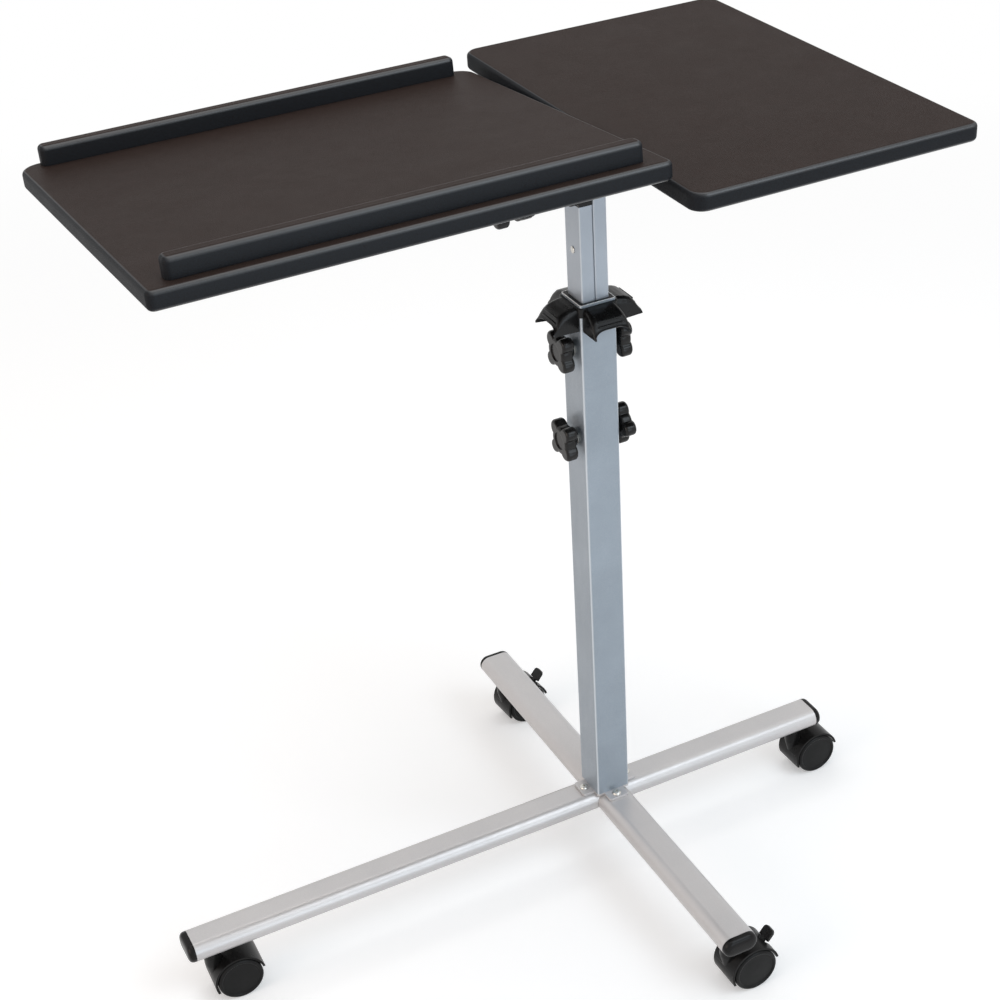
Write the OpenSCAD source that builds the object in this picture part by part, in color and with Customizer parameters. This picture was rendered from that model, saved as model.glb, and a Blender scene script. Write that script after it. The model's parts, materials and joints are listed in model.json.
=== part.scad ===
// Laptop and projector cart: a tilting board and a level board, each on its own sliding post,
// in one square column on a cross of flat-oval legs with four twin-wheel casters.
// Millimetres, +Z up, +X from the tilting board to the level board, the front is -Y.
// The origin lies on the floor, at the centre of the bounding box.

/* [Base cross] */
// Width of the flat-oval leg tube
leg_w = 40; // [36:1:44]
// Height of the flat-oval leg tube
leg_h = 22; // [20:1:24]
// Wall of the leg tube
leg_wall = 1.5; // [1.2:0.1:2]
// Height of the leg's underside over the floor
leg_bottom = 66; // [65:1:70]
// Column axis to the tube end of the leg under the tilting board
leg_left = 498; // [420:1:560]
// Column axis to the tube end of the leg under the level board
leg_right = 275; // [220:1:290]
// Column axis to the tube end of the front leg and of the back leg
leg_side = 280; // [230:1:340]
// How far an end cap domes out of its tube
cap_dome = 8; // [5:0.5:12]
// How far an end cap reaches into its tube
cap_plug = 9; // [6:0.5:9.5]
// Thickness of the foot plate under the column
foot_t = 3; // [2:0.5:4]
// Width of a foot tab
tab_w = 24; // [20:1:30]
// Reach of a foot tab past the column's face
tab_reach = 14; // [12:0.5:20]
// Radius of a foot screw's shank
foot_screw_r = 2.5; // [2:0.25:3]
// Length of a foot screw under its head
foot_screw_len = 12; // [8:1:16]

/* [Column] */
// Outer width of the square column tube
column_w = 40; // [39:0.5:43]
// Wall of the column tube
column_wall = 1.5; // [1.2:0.1:2]
// Outer corner radius of the column tube
column_corner = 3; // [2:0.25:3.5]
// Length of the column tube
column_len = 610; // [560:1:620]
// Depth of the guide in the column's mouth
top_guide_len = 80; // [70:1:90]
// Depth of the guide at the lower clamps
lower_guide_len = 50; // [40:1:70]

/* [Collar] */
// Depth of the collar's band on the column
band_len = 24; // [20:1:28]
// Thickness of the collar's band
band_t = 2; // [1.5:0.1:3]
// Drop from the column's rim to the collar's top
rim_show = 2.5; // [1:0.5:5]
// Column axis to the tip of a collar arm
arm_reach = 49; // [46:1:52]
// Drop from an arm's root to its tip
arm_drop = 21.5; // [20:0.5:24]
// Wall of an arm
arm_wall = 2.2; // [1.8:0.1:3]
// Rise of the arch cut in an arm's lip
arch_rise = 9; // [6:0.5:12]
// Depth of a rib on an arm
rib_d = 1.2; // [0.8:0.1:2]

/* [Clamps] */
// Drop from the column's rim to the upper clamp knobs
clamp_drop = 53; // [51:1:60]
// Distance from the upper to the lower clamp knobs
clamp_gap = 100; // [75:1:140]
// Radius of a clamp stud
stud_r = 4; // [3:0.25:4.5]
// Radial clearance of a stud in its rivet nut
stud_clear = 0.08; // [0.03:0.01:0.1]
// Radius of a rivet nut's barrel
nut_r = 6; // [5.5:0.25:7]
// Radius of a rivet nut's flange
nut_flange_r = 8; // [7.5:0.25:10]
// Thickness of a rivet nut's flange
nut_flange_t = 1.5; // [1:0.25:2]
// Radius of a knob over its lobes
knob_r = 23; // [20:0.5:24]
// Number of lobes on a knob
knob_lobes = 4; // [3:1:6]
// Radius of one lobe
lobe_r = 7.2; // [6:0.2:8]
// Thickness of a knob's lobed head
knob_head_t = 13; // [11:0.5:16]
// Length of a knob's hub
knob_hub_t = 4; // [3:0.5:12]
// Radius of a knob's hub at its foot
knob_hub_r = 9; // [7.5:0.5:11]
// Rounding of a knob's rim
knob_round = 3.5; // [1:0.25:4]
// Angle by which the right lower knob's lobes are turned from the others'
lower_turn = 45; // [0:5:90]
// Gap between a knob's hub and what it faces
knob_gap = 0.5; // [0.3:0.1:1]

/* [Posts] */
// Size of one post from side to side
post_x = 14.8; // [14:0.1:15.2]
// Size of one post from front to back
post_y = 30; // [28:0.5:31]
// Wall of a post
post_wall = 1.2; // [1:0.1:1.6]
// Outer corner radius of a post
post_corner = 2; // [1.5:0.25:2.5]
// Gap between the two posts
post_gap = 0.4; // [0.2:0.1:0.6]
// Clearance between the posts and their guides
post_clear = 0.3; // [0.2:0.05:0.5]
// Drop from the column's rim to the posts' lower ends as stored
post_drop = 283; // [271:1:310]
// Depth of the plug in a post's lower end
post_plug_len = 18; // [10:1:30]
// Rise of the stop rivet over the column's rim as stored
stop_rise = 51; // [48:1:58]
// Radius of the stop rivet
stop_r = 3.6; // [2.5:0.1:4.5]
// How far the stop rivet stands out
stop_out = 1.2; // [0.8:0.1:1.6]

/* [Boards] */
// Thickness of both boards
board_t = 18; // [15:0.5:22]
// Rounding of the boards' edges
board_edge = 4.5; // [2:0.5:6]
// Column axis to the near edge of either board
board_gap = 2.5; // [1.5:0.5:8]
// Column axis to the tilting board's far edge
tilting_far = 472; // [420:1:500]
// Front edge of the tilting board before its pivot
tilting_front = 176; // [150:1:220]
// Back edge of the tilting board behind its pivot
tilting_back = 240; // [200:1:260]
// Column axis to the level board's far edge
level_far = 304; // [296:1:330]
// Front edge of the level board before the column axis
level_front = 195; // [160:1:230]
// Back edge of the level board behind the column axis
level_back = 264; // [220:1:280]
// Rise of the level board's top over the column's rim as stored
level_rise = 170; // [160:1:180]
// Corner radius of the tilting board at its front
tilting_front_corner = 7; // [6:1:40]
// Corner radius of the tilting board at its back
tilting_back_corner = 22; // [6:1:40]
// Corner radius of the level board next to the column
level_inner_corner = 16; // [6:1:40]
// Corner radius of the level board at its far side
level_outer_corner = 9; // [6:1:40]
// Height of a rail on the tilting board
rail_h = 19; // [14:1:30]
// Width of a rail
rail_w = 18; // [12:1:24]
// Rounding of a rail's top and ends
rail_round = 5; // [2:0.5:6]
// Distance of the rails' ends from the board's sides
rail_inset = 21; // [10:1:40]
// Distance of the front rail from the front edge
front_rail_inset = 13; // [6:1:30]
// Distance of the back rail from the back edge
back_rail_inset = 3; // [2:1:20]

/* [Tilt joint] */
// Rise of the tilt pivot over the column's rim as stored
pivot_rise = 115; // [111:1:119]
// Distance of the tilting board's underside from the pivot
pivot_drop = 47; // [40:1:55]
// Tilt of the board as stored, negative with its front edge up
rest_tilt = -5.2; // [-15:0.1:15]
// Radius of the pivot bolt
bolt_r = 5; // [4:0.25:6]
// Radial clearance of the bolt in the bracket
bolt_clear = 0.06; // [0.03:0.01:0.1]
// Radius of an ear round the pivot
ear_r = 18; // [15:0.5:20]
// Thickness of the brackets' sheet steel
sheet_t = 3; // [2:0.25:4]
// Distance between the ears' facing sides
ear_gap = 41; // [30:1:50]
// Gap between the pivot head and the near ear
ear_clear = 0.8; // [0.4:0.1:2]
// Thickness of the friction disc
disc_t = 12; // [8:0.5:14]
// Length of the tilt knob's hub
tilt_hub_t = 12; // [6:0.5:16]
// Radius of the friction disc
disc_r = 19; // [16:0.5:21]
// Depth of both bracket plates from front to back
plate_d = 100; // [80:1:120]
// Reach of both bracket plates from the column axis
plate_reach = 150; // [120:1:200]
// Height of the ribs under the brackets
rib_h = 34; // [20:1:38]
// Radius of a board screw's shank
board_screw_r = 2; // [1.5:0.25:2.5]
// Length of a board screw under its head
board_screw_len = 15; // [12:1:16]
// Radius of a board screw's head
board_screw_head = 4.2; // [3.5:0.1:5]

/* [Casters] */
// Radius of a caster wheel
wheel_r = 25; // [22:0.5:25]
// Width of one wheel
wheel_w = 15; // [12:0.5:18]
// Half width of the hood's web between the wheels
web_half = 4.5; // [4:0.25:6]
// Side gap of a wheel at the web
wheel_gap = 0.6; // [0.4:0.1:1]
// Gap between a wheel and the hood over it
hood_gap = 1; // [0.8:0.1:2]
// Wall of the hood
hood_wall = 2.5; // [1.8:0.1:3]
// How far the wheels stand out past the hood's sides
wheel_proud = 1.2; // [0.4:0.2:3]
// Thickness of the cap that closes a wheel's outer face
wheel_cap = 2.4; // [1.6:0.2:3]
// Distance from a stem to its wheel axle
caster_trail = 23; // [20:1:26]
// Distance of a stem from the end of its leg
stem_inset = 20; // [20:1:40]
// Radius of a caster stem
stem_r = 4; // [3.5:0.25:4.5]
// Radial clearance of a stem in the hood
stem_clear = 0.08; // [0.03:0.01:0.1]
// How far a stem reaches into its hood
stem_engage = 18; // [12:1:20]
// Gap between a leg and the hood's top
hood_drop = 4; // [3.5:0.5:6]
// Outer radius of a stem socket
socket_r = 8.5; // [7.5:0.25:9.5]
// Radius of a wheel axle
axle_r = 3; // [2.5:0.25:4]
// Radial clearance of a wheel on its axle
axle_clear = 0.06; // [0.03:0.01:0.1]
// Height of the hood's front skirt over the floor
skirt_z = 14.5; // [8:0.5:18]
// Half width of a brake pedal's paddle
paddle_half = 7.5; // [6:0.25:9]
// Length of a brake pedal's paddle
paddle_len = 13; // [12:0.5:16]
// Rise of a brake pedal's paddle from the level
paddle_rise = 50; // [40:1:52]
// Corner radius of a brake pedal's paddle
paddle_round = 4.5; // [3:0.5:5]
// Half width of a brake pedal's arm
pedal_half = 2.6; // [2:0.1:3]
// Side gap of a pedal in its slots
pedal_gap = 0.5; // [0.3:0.05:0.6]
// Radius of a pedal's pin
pedal_pin_r = 1.5; // [1.25:0.05:1.75]
// Angle of the left caster's trail from +X
turn_left = -2; // [-180:1:180]
// Angle of the front caster's trail from +X
turn_front = 0; // [-180:1:180]
// Angle of the back caster's trail from +X
turn_back = 4; // [-180:1:180]
// Angle of the right caster's trail from +X
turn_right = 1; // [-180:1:180]

/* [Hidden] */
$fn = 48;

silver = [0.70, 0.71, 0.73];
black = [0.08, 0.08, 0.09];
board_black = [0.13, 0.12, 0.12];
steel = [0.80, 0.81, 0.82];
tyre = [0.12, 0.12, 0.13];

// Cut-through allowance of every hole and cut
cut = 1;
leg_top = leg_bottom + leg_h;
leg_z = leg_bottom + leg_h / 2;
column_bottom = leg_top + foot_t;
rim_z = column_bottom + column_len;
clamp_upper_z = rim_z - clamp_drop;
clamp_lower_z = clamp_upper_z - clamp_gap;
post_bottom = rim_z - post_drop;
stop_z = rim_z + stop_rise;
pivot_z = rim_z + pivot_rise;
level_top = rim_z + level_rise;
column_in = column_w - 2 * column_wall;
post_mid = (post_gap + post_x) / 2;
post_out = post_gap / 2 + post_x;
guide_x = 2 * (post_out + post_clear);
guide_y = post_y + 2 * post_clear;
post_top = pivot_z - post_y / 2 - cut;
level_under = level_top - board_t;
lower_guide_z = clamp_lower_z + lower_guide_len / 2;
stud_tip = post_out + post_clear;
knob_x = column_w / 2 + nut_flange_t + knob_gap;
stud_end = knob_x + knob_hub_t + knob_head_t / 2;
knob_recess = 1.2;
plug_lip = 3;
arm_run = arm_reach - column_w / 2;
rib_len = column_w + rib_d;
cheek_len = 22.5;
// The pivot head's side next to the other post, and the recess in it for the bolt's head
head_side_x = -post_gap / 2 - 0.4;
bolt_head_x = head_side_x - 4;
bolt_head_t = 3.8;
bolt_head_r = 1.6 * bolt_r;
sleeve_r = 1.7 * bolt_r;
insert_r = bolt_r + 2;
near_ear = -(post_out + ear_clear);
far_ear = near_ear - sheet_t - ear_gap;
disc_x = far_ear - sheet_t;
tilt_knob_x = disc_x - disc_t - knob_gap;
tilt_insert_len = tilt_hub_t + knob_head_t / 2;
rib_inset = 6;
rib_tip = 2;
screw_inset = [14, 12];
screw_head_t = 2.2;
wheel_in = web_half + wheel_gap;
hood_half = wheel_in + wheel_w - wheel_proud;
pocket_r = wheel_r + hood_gap;
hood_r = pocket_r + hood_wall;
boss_r = stem_r + 5;
boss_top = leg_bottom - hood_drop;
socket_flange_t = 1.5;
boss_cone = 20;
caster_stem_foot = boss_top - stem_engage;
// Angle over the level, seen from the axle, at which the hood ends behind the wheels
rear_angle = 13;
web_r = wheel_r - 4;
stem_play = 0.3;
// Place of a pedal's pin from the axle, and radius of the pedal's eye
pedal_pin = [10, 11];
pedal_eye_r = 4;
// Where a pedal's arm meets its paddle, from the pin, and the paddle's thickness
paddle_base = [11.5, 9.5];
paddle_t = 3.2;
pin_clear = 0.06;

// Stem place and trail angle of each caster
left_site = [-(leg_left - stem_inset), 0, turn_left];
front_site = [0, -(leg_side - stem_inset), turn_front];
back_site = [0, leg_side - stem_inset, turn_back];
right_site = [leg_right - stem_inset, 0, turn_right];
caster_sites = [left_site, front_site, back_site, right_site];

// The frame's centre lies midway between the left end cap and what reaches farthest to the right
right_reach = max(leg_right + cap_dome, level_far, leg_right - stem_inset + hood_reach(turn_right));
column_x = (leg_left + cap_dome - right_reach) / 2;

// Points of an arc of radius r about [x, y], from angle a to angle b
function arc(x, y, r, a, b, steps) =
    [for (i = [0:steps]) [x + r * cos(a + (b - a) * i / steps), y + r * sin(a + (b - a) * i / steps)]];

// Everything is drawn round the column axis and then moved to the frame
module at_column() { translate([column_x, 0, 0]) children(); }

// The tilting board's own frame, turned about the pivot
module at_pivot() { at_column() translate([0, 0, pivot_z]) rotate([rest_tilt, 0, 0]) children(); }

// A caster's frame: stem axis at the origin on the floor, wheels trailing along +X
module at_site(site) { at_column() translate([site[0], site[1], 0]) rotate([0, 0, site[2]]) children(); }

module rounded_rect(w, d, r) {
    square([w, d - 2 * r], center = true);
    square([w - 2 * r, d], center = true);
    for (sx = [-1, 1], sy = [-1, 1]) translate([sx * (w / 2 - r), sy * (d / 2 - r)]) circle(r);
}

module flat_oval(w, h) {
    square([w - h, h], center = true);
    for (s = [-1, 1]) translate([s * (w - h) / 2, 0]) circle(h / 2);
}

// A rod along X from x0 to x1
module rod_x(x0, x1, r) {
    translate([min(x0, x1), 0, 0]) rotate([0, 90, 0]) cylinder(r = r, h = abs(x1 - x0));
}

// A rod along Y, centred
module rod_y(len, r) { rotate([90, 0, 0]) cylinder(r = r, h = len, center = true); }

// Half section of a round slab of radius r and thickness t, rounded at its top and bottom edges
function slab_section(r, t, top_r, bottom_r) = let (steps = 6) concat(
    [[0, 0]],
    arc(r - bottom_r, bottom_r, bottom_r, -90, 0, steps),
    arc(r - top_r, t - top_r, top_r, 0, 90, steps),
    [[0, t]]
);

// A slab from corner a to corner b, its corner radii counted from a anticlockwise
module rounded_slab(a, b, t, radii, top_r, bottom_r) {
    signs = [[1, 1], [-1, 1], [-1, -1], [1, -1]];
    places = [a, [b[0], a[1]], b, [a[0], b[1]]];
    hull() for (i = [0:3]) translate(places[i] + radii[i] * signs[i])
        rotate_extrude($fn = 40) polygon(slab_section(radii[i], t, top_r, bottom_r));
}

// A leg tube along +X from x0 to x1, solid or hollow
module leg_bar(x0, x1, shrink) {
    translate([x0, 0, leg_z]) rotate([90, 0, 90]) linear_extrude(x1 - x0)
        flat_oval(leg_w - 2 * shrink, leg_h - 2 * shrink);
}

module leg_tube(x0, x1) {
    difference() {
        leg_bar(x0, x1, 0);
        leg_bar(x0 - cut, x1 + cut, leg_wall);
    }
}

// The hole in a leg's underside that takes a stem socket
module socket_hole() { translate([0, 0, leg_bottom - cut]) cylinder(r = socket_r, h = leg_wall + 2 * cut); }

module foot_holes(r, h) {
    for (a = [0:90:270]) rotate(a) translate([column_w / 2 + tab_reach / 2, 0, 0]) cylinder(r = r, h = h);
}

module long_leg() {
    color(silver) at_column() difference() {
        leg_tube(-leg_left, leg_right);
        for (s = [left_site, right_site]) translate([s[0], 0, 0]) socket_hole();
        translate([0, 0, leg_z]) foot_holes(foot_screw_r, leg_h);
    }
}

// A side leg, coped to the long leg's rounded side; side is -1 in front and 1 behind
module side_leg(side) {
    color(silver) at_column() difference() {
        rotate(90 * side) leg_tube(0, leg_side);
        leg_bar(-leg_w, leg_w, 0);
        translate([0, side * (leg_side - stem_inset), 0]) socket_hole();
        translate([0, 0, leg_z]) foot_holes(foot_screw_r, leg_h);
    }
}

// A domed end cap for the tube end at reach along the direction angle
module end_cap(angle, reach) {
    steps = 8;
    straight = leg_w - leg_h;
    dome = [for (i = [0:steps]) [leg_h / 2 * cos(90 * i / steps), cap_dome * sin(90 * i / steps)]];
    ridge = concat(dome, [for (i = [steps - 1:-1:0]) [-dome[i][0], dome[i][1]]]);
    core = concat([[0, 0]], dome);
    color(black) at_column() rotate(angle) translate([reach, 0, leg_z]) rotate([0, 90, 0]) {
        rotate([90, 0, 0]) linear_extrude(straight, center = true) polygon(ridge);
        for (s = [-1, 1]) translate([0, s * straight / 2, 0]) rotate_extrude() polygon(core);
        translate([0, 0, -cap_plug]) linear_extrude(cap_plug) rotate(90)
            flat_oval(leg_w - 2 * leg_wall, leg_h - 2 * leg_wall);
    }
}

module foot_plate() {
    color(silver) at_column() translate([0, 0, leg_top]) difference() {
        linear_extrude(foot_t) {
            rounded_rect(column_w, column_w, column_corner);
            for (a = [0, 90]) rotate(a) rounded_rect(column_w + 2 * tab_reach, tab_w, foot_t);
        }
        translate([0, 0, -cut]) foot_holes(foot_screw_r, foot_t + 2 * cut);
    }
}

// Button-head screws with a socket, one in each foot tab
module foot_screws() {
    head_r = 2 * foot_screw_r;
    head_h = foot_screw_r;
    button = concat([[0, 0]], arc(head_r - head_h, 0, head_h, 0, 90, 5), [[0, head_h]]);
    color(steel) at_column() for (a = [0:90:270]) rotate(a)
        translate([column_w / 2 + tab_reach / 2, 0, column_bottom]) difference() {
            union() {
                translate([0, 0, -foot_screw_len]) cylinder(r = foot_screw_r, h = foot_screw_len);
                rotate_extrude() polygon(button);
            }
            translate([0, 0, head_h / 3]) cylinder(r = foot_screw_r * 0.6, h = head_h, $fn = 6);
        }
}

module column_tube() {
    color(silver) at_column() difference() {
        translate([0, 0, column_bottom]) linear_extrude(column_len) difference() {
            rounded_rect(column_w, column_w, column_corner);
            rounded_rect(column_in, column_in, column_corner - column_wall);
        }
        for (z = [clamp_upper_z, clamp_lower_z]) translate([0, 0, z]) rod_x(-column_w, column_w, nut_r);
    }
}

// Top line of a collar arm, from root to tip, as shares of its run and of its drop
arm_shares = [[0, 0.01], [0.25, 0.02], [0.45, 0.04], [0.6, 0.08], [0.7, 0.13],
              [0.78, 0.21], [0.84, 0.33], [0.88, 0.46], [0.92, 0.64], [1, 1]];
rib_shares = [[0.7, 0.13], [0.86, 0.39]];

// Distance from the column axis and height over the arm's root of such a place
function arm_point(p) = [column_w / 2 + p[0] * arm_run, -p[1] * arm_drop];

// One arm along +X: a flared channel, open below, its lip cut by an arch and ribbed outside
module collar_arm() {
    half = column_w / 2;
    root_x = half + band_t / 2;
    top = [for (p = arm_shares) [max(arm_point(p)[0], root_x), arm_point(p)[1]]];
    lip = [arm_reach - arm_wall / 3, -arm_drop - arm_wall];
    under = [for (i = [len(top) - 1:-1:1]) top[i] - arm_wall * [0.8, 1]];
    heel = [root_x, top[0][1] - arm_wall];
    arch_half = half - arm_wall / 2;
    arch_r = (arch_half * arch_half + arch_rise * arch_rise) / (2 * arch_rise);
    difference() {
        union() {
            rotate([90, 0, 0]) linear_extrude(column_w, center = true)
                polygon(concat(top, [lip], under, [heel]));
            for (s = [-1, 1]) translate([0, s * (half - arm_wall / 2), 0]) rotate([90, 0, 0])
                linear_extrude(arm_wall, center = true) polygon(concat(top, [lip, [root_x, -cheek_len]]));
            for (p = rib_shares) translate([arm_point(p)[0], 0, arm_point(p)[1]]) rod_y(rib_len, rib_d);
        }
        translate([0, 0, lip[1] + arch_rise - arch_r]) rod_x(half + 2 * band_t, arm_reach + cut, arch_r);
    }
}

// The moulded collar round the column's top, one arm on each face
module collar() {
    color(black) at_column() translate([0, 0, rim_z - rim_show]) difference() {
        union() {
            translate([0, 0, -band_len]) linear_extrude(band_len)
                rounded_rect(column_w + 2 * band_t, column_w + 2 * band_t, column_corner);
            for (a = [0:90:270]) rotate(a) collar_arm();
        }
        translate([0, 0, -2 * band_len]) linear_extrude(3 * band_len)
            rounded_rect(column_w, column_w, column_corner);
    }
}

// A plastic guide that fills the column round the posts, holed for the clamps at clamp_z
module guide(top_z, len, clamp_z) {
    color(black) at_column() difference() {
        translate([0, 0, top_z - len]) linear_extrude(len) difference() {
            rounded_rect(column_in, column_in, column_corner - column_wall);
            rounded_rect(guide_x, guide_y, post_corner);
        }
        translate([0, 0, clamp_z]) rod_x(-column_w, column_w, nut_r);
    }
}

// Flanged rivet nuts in the column's sides, one behind each knob
module rivet_nuts() {
    barrel = column_w / 2 - post_out - post_clear;
    color(steel) at_column() for (z = [clamp_upper_z, clamp_lower_z], s = [-1, 1]) translate([0, 0, z])
        difference() {
            union() {
                rod_x(s * (column_w / 2 - barrel), s * column_w / 2, nut_r);
                rod_x(s * column_w / 2, s * (column_w / 2 + nut_flange_t), nut_flange_r);
            }
            rod_x(0, s * column_w, stud_r + stud_clear);
        }
}

// A lobed knob on its stud axis, hub foot at the origin, head towards +X, bored for its stud
module lobed_knob(hub_t, bore_r, bore_len) {
    total = hub_t + knob_head_t;
    rim = arc(knob_r - knob_round, knob_head_t - knob_round, knob_round, 0, 90, 4);
    foot = arc(knob_r - knob_round, knob_round, knob_round, -90, 0, 4);
    difference() {
        rotate([0, 90, 0]) union() {
            cylinder(r = knob_hub_r, h = hub_t);
            translate([0, 0, hub_t]) intersection() {
                linear_extrude(knob_head_t) {
                    circle(knob_r - lobe_r);
                    for (i = [0:knob_lobes - 1]) rotate((i + 0.5) * 360 / knob_lobes)
                        translate([knob_r - lobe_r, 0]) circle(lobe_r);
                }
                rotate_extrude() polygon(concat([[0, 0]], foot, rim, [[0, knob_head_t]]));
            }
        }
        rod_x(-cut, bore_len, bore_r);
        rod_x(total - knob_recess, total + cut, knob_hub_r);
    }
}

module clamp_knob(side, z, turn) {
    color(black) at_column() translate([side * knob_x, 0, z]) rotate(side > 0 ? 0 : 180)
        rotate([turn, 0, 0]) lobed_knob(knob_hub_t, stud_r, stud_end - knob_x);
}

module clamp_stud(side, z) {
    color(steel) at_column() translate([0, 0, z]) rod_x(side * stud_tip, side * stud_end, stud_r);
}

// A hollow post beside the column axis; side is -1 for the tilting board's
module post(side, top_z) {
    translate([side * post_mid, 0, post_bottom]) linear_extrude(top_z - post_bottom) difference() {
        rounded_rect(post_x, post_y, post_corner);
        rounded_rect(post_x - 2 * post_wall, post_y - 2 * post_wall, post_corner - post_wall);
    }
}

// The plug in a post's lower end, with a lip under the wall
module post_plug(side) {
    color(black) at_column() translate([side * post_mid, 0, post_bottom]) {
        linear_extrude(post_plug_len)
            rounded_rect(post_x - 2 * post_wall, post_y - 2 * post_wall, post_corner - post_wall);
        translate([0, 0, -plug_lip]) linear_extrude(plug_lip) rounded_rect(post_x, post_y, post_corner);
    }
}

module left_post() {
    color(silver) at_column() difference() {
        post(-1, post_top);
        translate([0, 0, stop_z]) rod_x(-column_w, -post_mid, stop_r / 2);
    }
}

// The domed rivet that stops the post at the column's guide
module stop_rivet() {
    dome = [[0, 0], [stop_r, 0], [stop_r, stop_out / 2], [stop_r * 0.7, stop_out], [0, stop_out]];
    shank = post_wall + 1;
    color(steel) at_column() translate([-post_out, 0, stop_z]) rotate([0, -90, 0]) {
        rotate_extrude() polygon(dome);
        translate([0, 0, -shank]) cylinder(r = stop_r / 2, h = shank);
    }
}

// The moulded head on the left post: a plug, a body and a boss round the pivot bolt
module pivot_head() {
    color(black) at_column() difference() {
        union() {
            translate([-post_mid, 0, post_top - post_plug_len]) linear_extrude(post_plug_len)
                rounded_rect(post_x - 2 * post_wall, post_y - 2 * post_wall, post_corner - post_wall);
            translate([-post_out, -post_y / 2, post_top])
                cube([post_out + head_side_x, post_y, pivot_z - post_top]);
            translate([0, 0, pivot_z]) rod_x(-post_out, head_side_x, post_y / 2);
        }
        translate([0, 0, pivot_z]) {
            rod_x(-column_w, column_w, bolt_r);
            rod_x(bolt_head_x, column_w, bolt_head_r);
        }
    }
}

module pivot_bolt() {
    color(steel) at_column() translate([0, 0, pivot_z]) {
        rod_x(bolt_head_x, tilt_knob_x - tilt_insert_len + 2, bolt_r);
        rod_x(bolt_head_x, bolt_head_x + bolt_head_t, bolt_head_r);
    }
}

// Screw places under a board, from the plate's inner end to its outer end
function screw_xs(x0, x1) = let (inset = screw_inset[0] * sign(x1 - x0)) [x0 + inset, x1 - inset];
screw_ys = [-plate_d / 2 + screw_inset[1], plate_d / 2 - screw_inset[1]];
tilt_xs = screw_xs(near_ear - sheet_t, -plate_reach);
level_xs = screw_xs(post_out + rib_inset, plate_reach);

module board_holes(xs, z) {
    for (x = xs, y = screw_ys) translate([x, y, z])
        cylinder(r = board_screw_r, h = board_screw_len - sheet_t);
}

module board_screws(xs, z) {
    head = [[0, 0], [board_screw_head, 0], [board_screw_head, screw_head_t / 2],
            [board_screw_head * 0.7, screw_head_t], [0, screw_head_t]];
    for (x = xs, y = screw_ys) translate([x, y, z]) {
        cylinder(r = board_screw_r, h = board_screw_len);
        rotate([180, 0, 0]) rotate_extrude() polygon(head);
    }
}

module plate_holes(xs, z) {
    for (x = xs, y = screw_ys) translate([x, y, z - cut]) cylinder(r = board_screw_r, h = sheet_t + 2 * cut);
}

// A sheet-steel ear in the YZ plane from x to x + sheet_t, from the plate down round the pivot
module ear(x) {
    top_half = 1.6 * ear_r;
    top = pivot_drop - sheet_t;
    translate([x, 0, 0]) rotate([90, 0, 90]) linear_extrude(sheet_t) {
        circle(ear_r);
        polygon([[-ear_r, 0], [ear_r, 0], [top_half, top], [-top_half, top]]);
    }
}

// The tilting board's bracket: a plate, two ears, a sleeve between them and two ribs
module tilt_bracket() {
    plate_z = pivot_drop - sheet_t;
    rib_y = 1.2 * ear_r;
    rib_end = rib_inset - plate_reach;
    color(black) at_pivot() difference() {
        union() {
            translate([-plate_reach, -plate_d / 2, plate_z]) cube([plate_reach + near_ear, plate_d, sheet_t]);
            ear(near_ear - sheet_t);
            ear(far_ear - sheet_t);
            rod_x(far_ear, near_ear - sheet_t, sleeve_r);
            for (s = [-1, 1]) translate([0, s * rib_y, plate_z]) rotate([90, 0, 0])
                linear_extrude(sheet_t, center = true)
                    polygon([[disc_x, 0], [disc_x, -rib_h / 2], [rib_end, -rib_tip], [rib_end, 0]]);
        }
        rod_x(-plate_reach, 0, bolt_r + bolt_clear);
        plate_holes(tilt_xs, plate_z);
    }
}

module tilt_screws() {
    color(steel) at_pivot() board_screws(tilt_xs, pivot_drop - sheet_t);
}

module tilting_board() {
    color(board_black) at_pivot() difference() {
        translate([0, 0, pivot_drop])
            rounded_slab([-tilting_far, -tilting_front], [-board_gap, tilting_back], board_t,
                         [tilting_front_corner, tilting_front_corner,
                          tilting_back_corner, tilting_back_corner],
                         board_edge, board_edge);
        board_holes(tilt_xs, pivot_drop);
    }
}

// A rounded rail on the tilting board, its front side at y
module rail(y) {
    color(board_black) at_pivot() translate([0, 0, pivot_drop + board_t])
        rounded_slab([-tilting_far + rail_inset, y], [-board_gap - rail_inset, y + rail_w], rail_h,
                     [for (i = [0:3]) rail_round + 1], rail_round, 0.5);
}

// The toothed friction disc between the far ear and the knob
module friction_disc() {
    teeth = 24;
    tooth_r = disc_r / 16;
    flange = disc_t / 4;
    color(black) at_pivot() difference() {
        rod_x(disc_x, disc_x - disc_t, disc_r);
        rod_x(disc_x + cut, disc_x - disc_t - cut, bolt_r + bolt_clear);
        for (i = [0:teeth - 1]) rotate([i * 360 / teeth, 0, 0]) translate([0, disc_r, 0])
            rod_x(disc_x - flange, disc_x - disc_t + flange, tooth_r);
    }
}

module tilt_knob() {
    color(black) at_column() translate([tilt_knob_x, 0, pivot_z]) rotate([0, 0, 180])
        lobed_knob(tilt_hub_t, insert_r, tilt_insert_len);
}

// The threaded insert moulded in the tilt knob
module tilt_insert() {
    color(steel) at_column() translate([tilt_knob_x, 0, pivot_z]) difference() {
        rod_x(0, -tilt_insert_len, insert_r);
        rod_x(cut, -tilt_insert_len + 1, bolt_r + bolt_clear);
    }
}

module right_post() { color(silver) at_column() post(1, level_under - sheet_t); }

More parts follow.
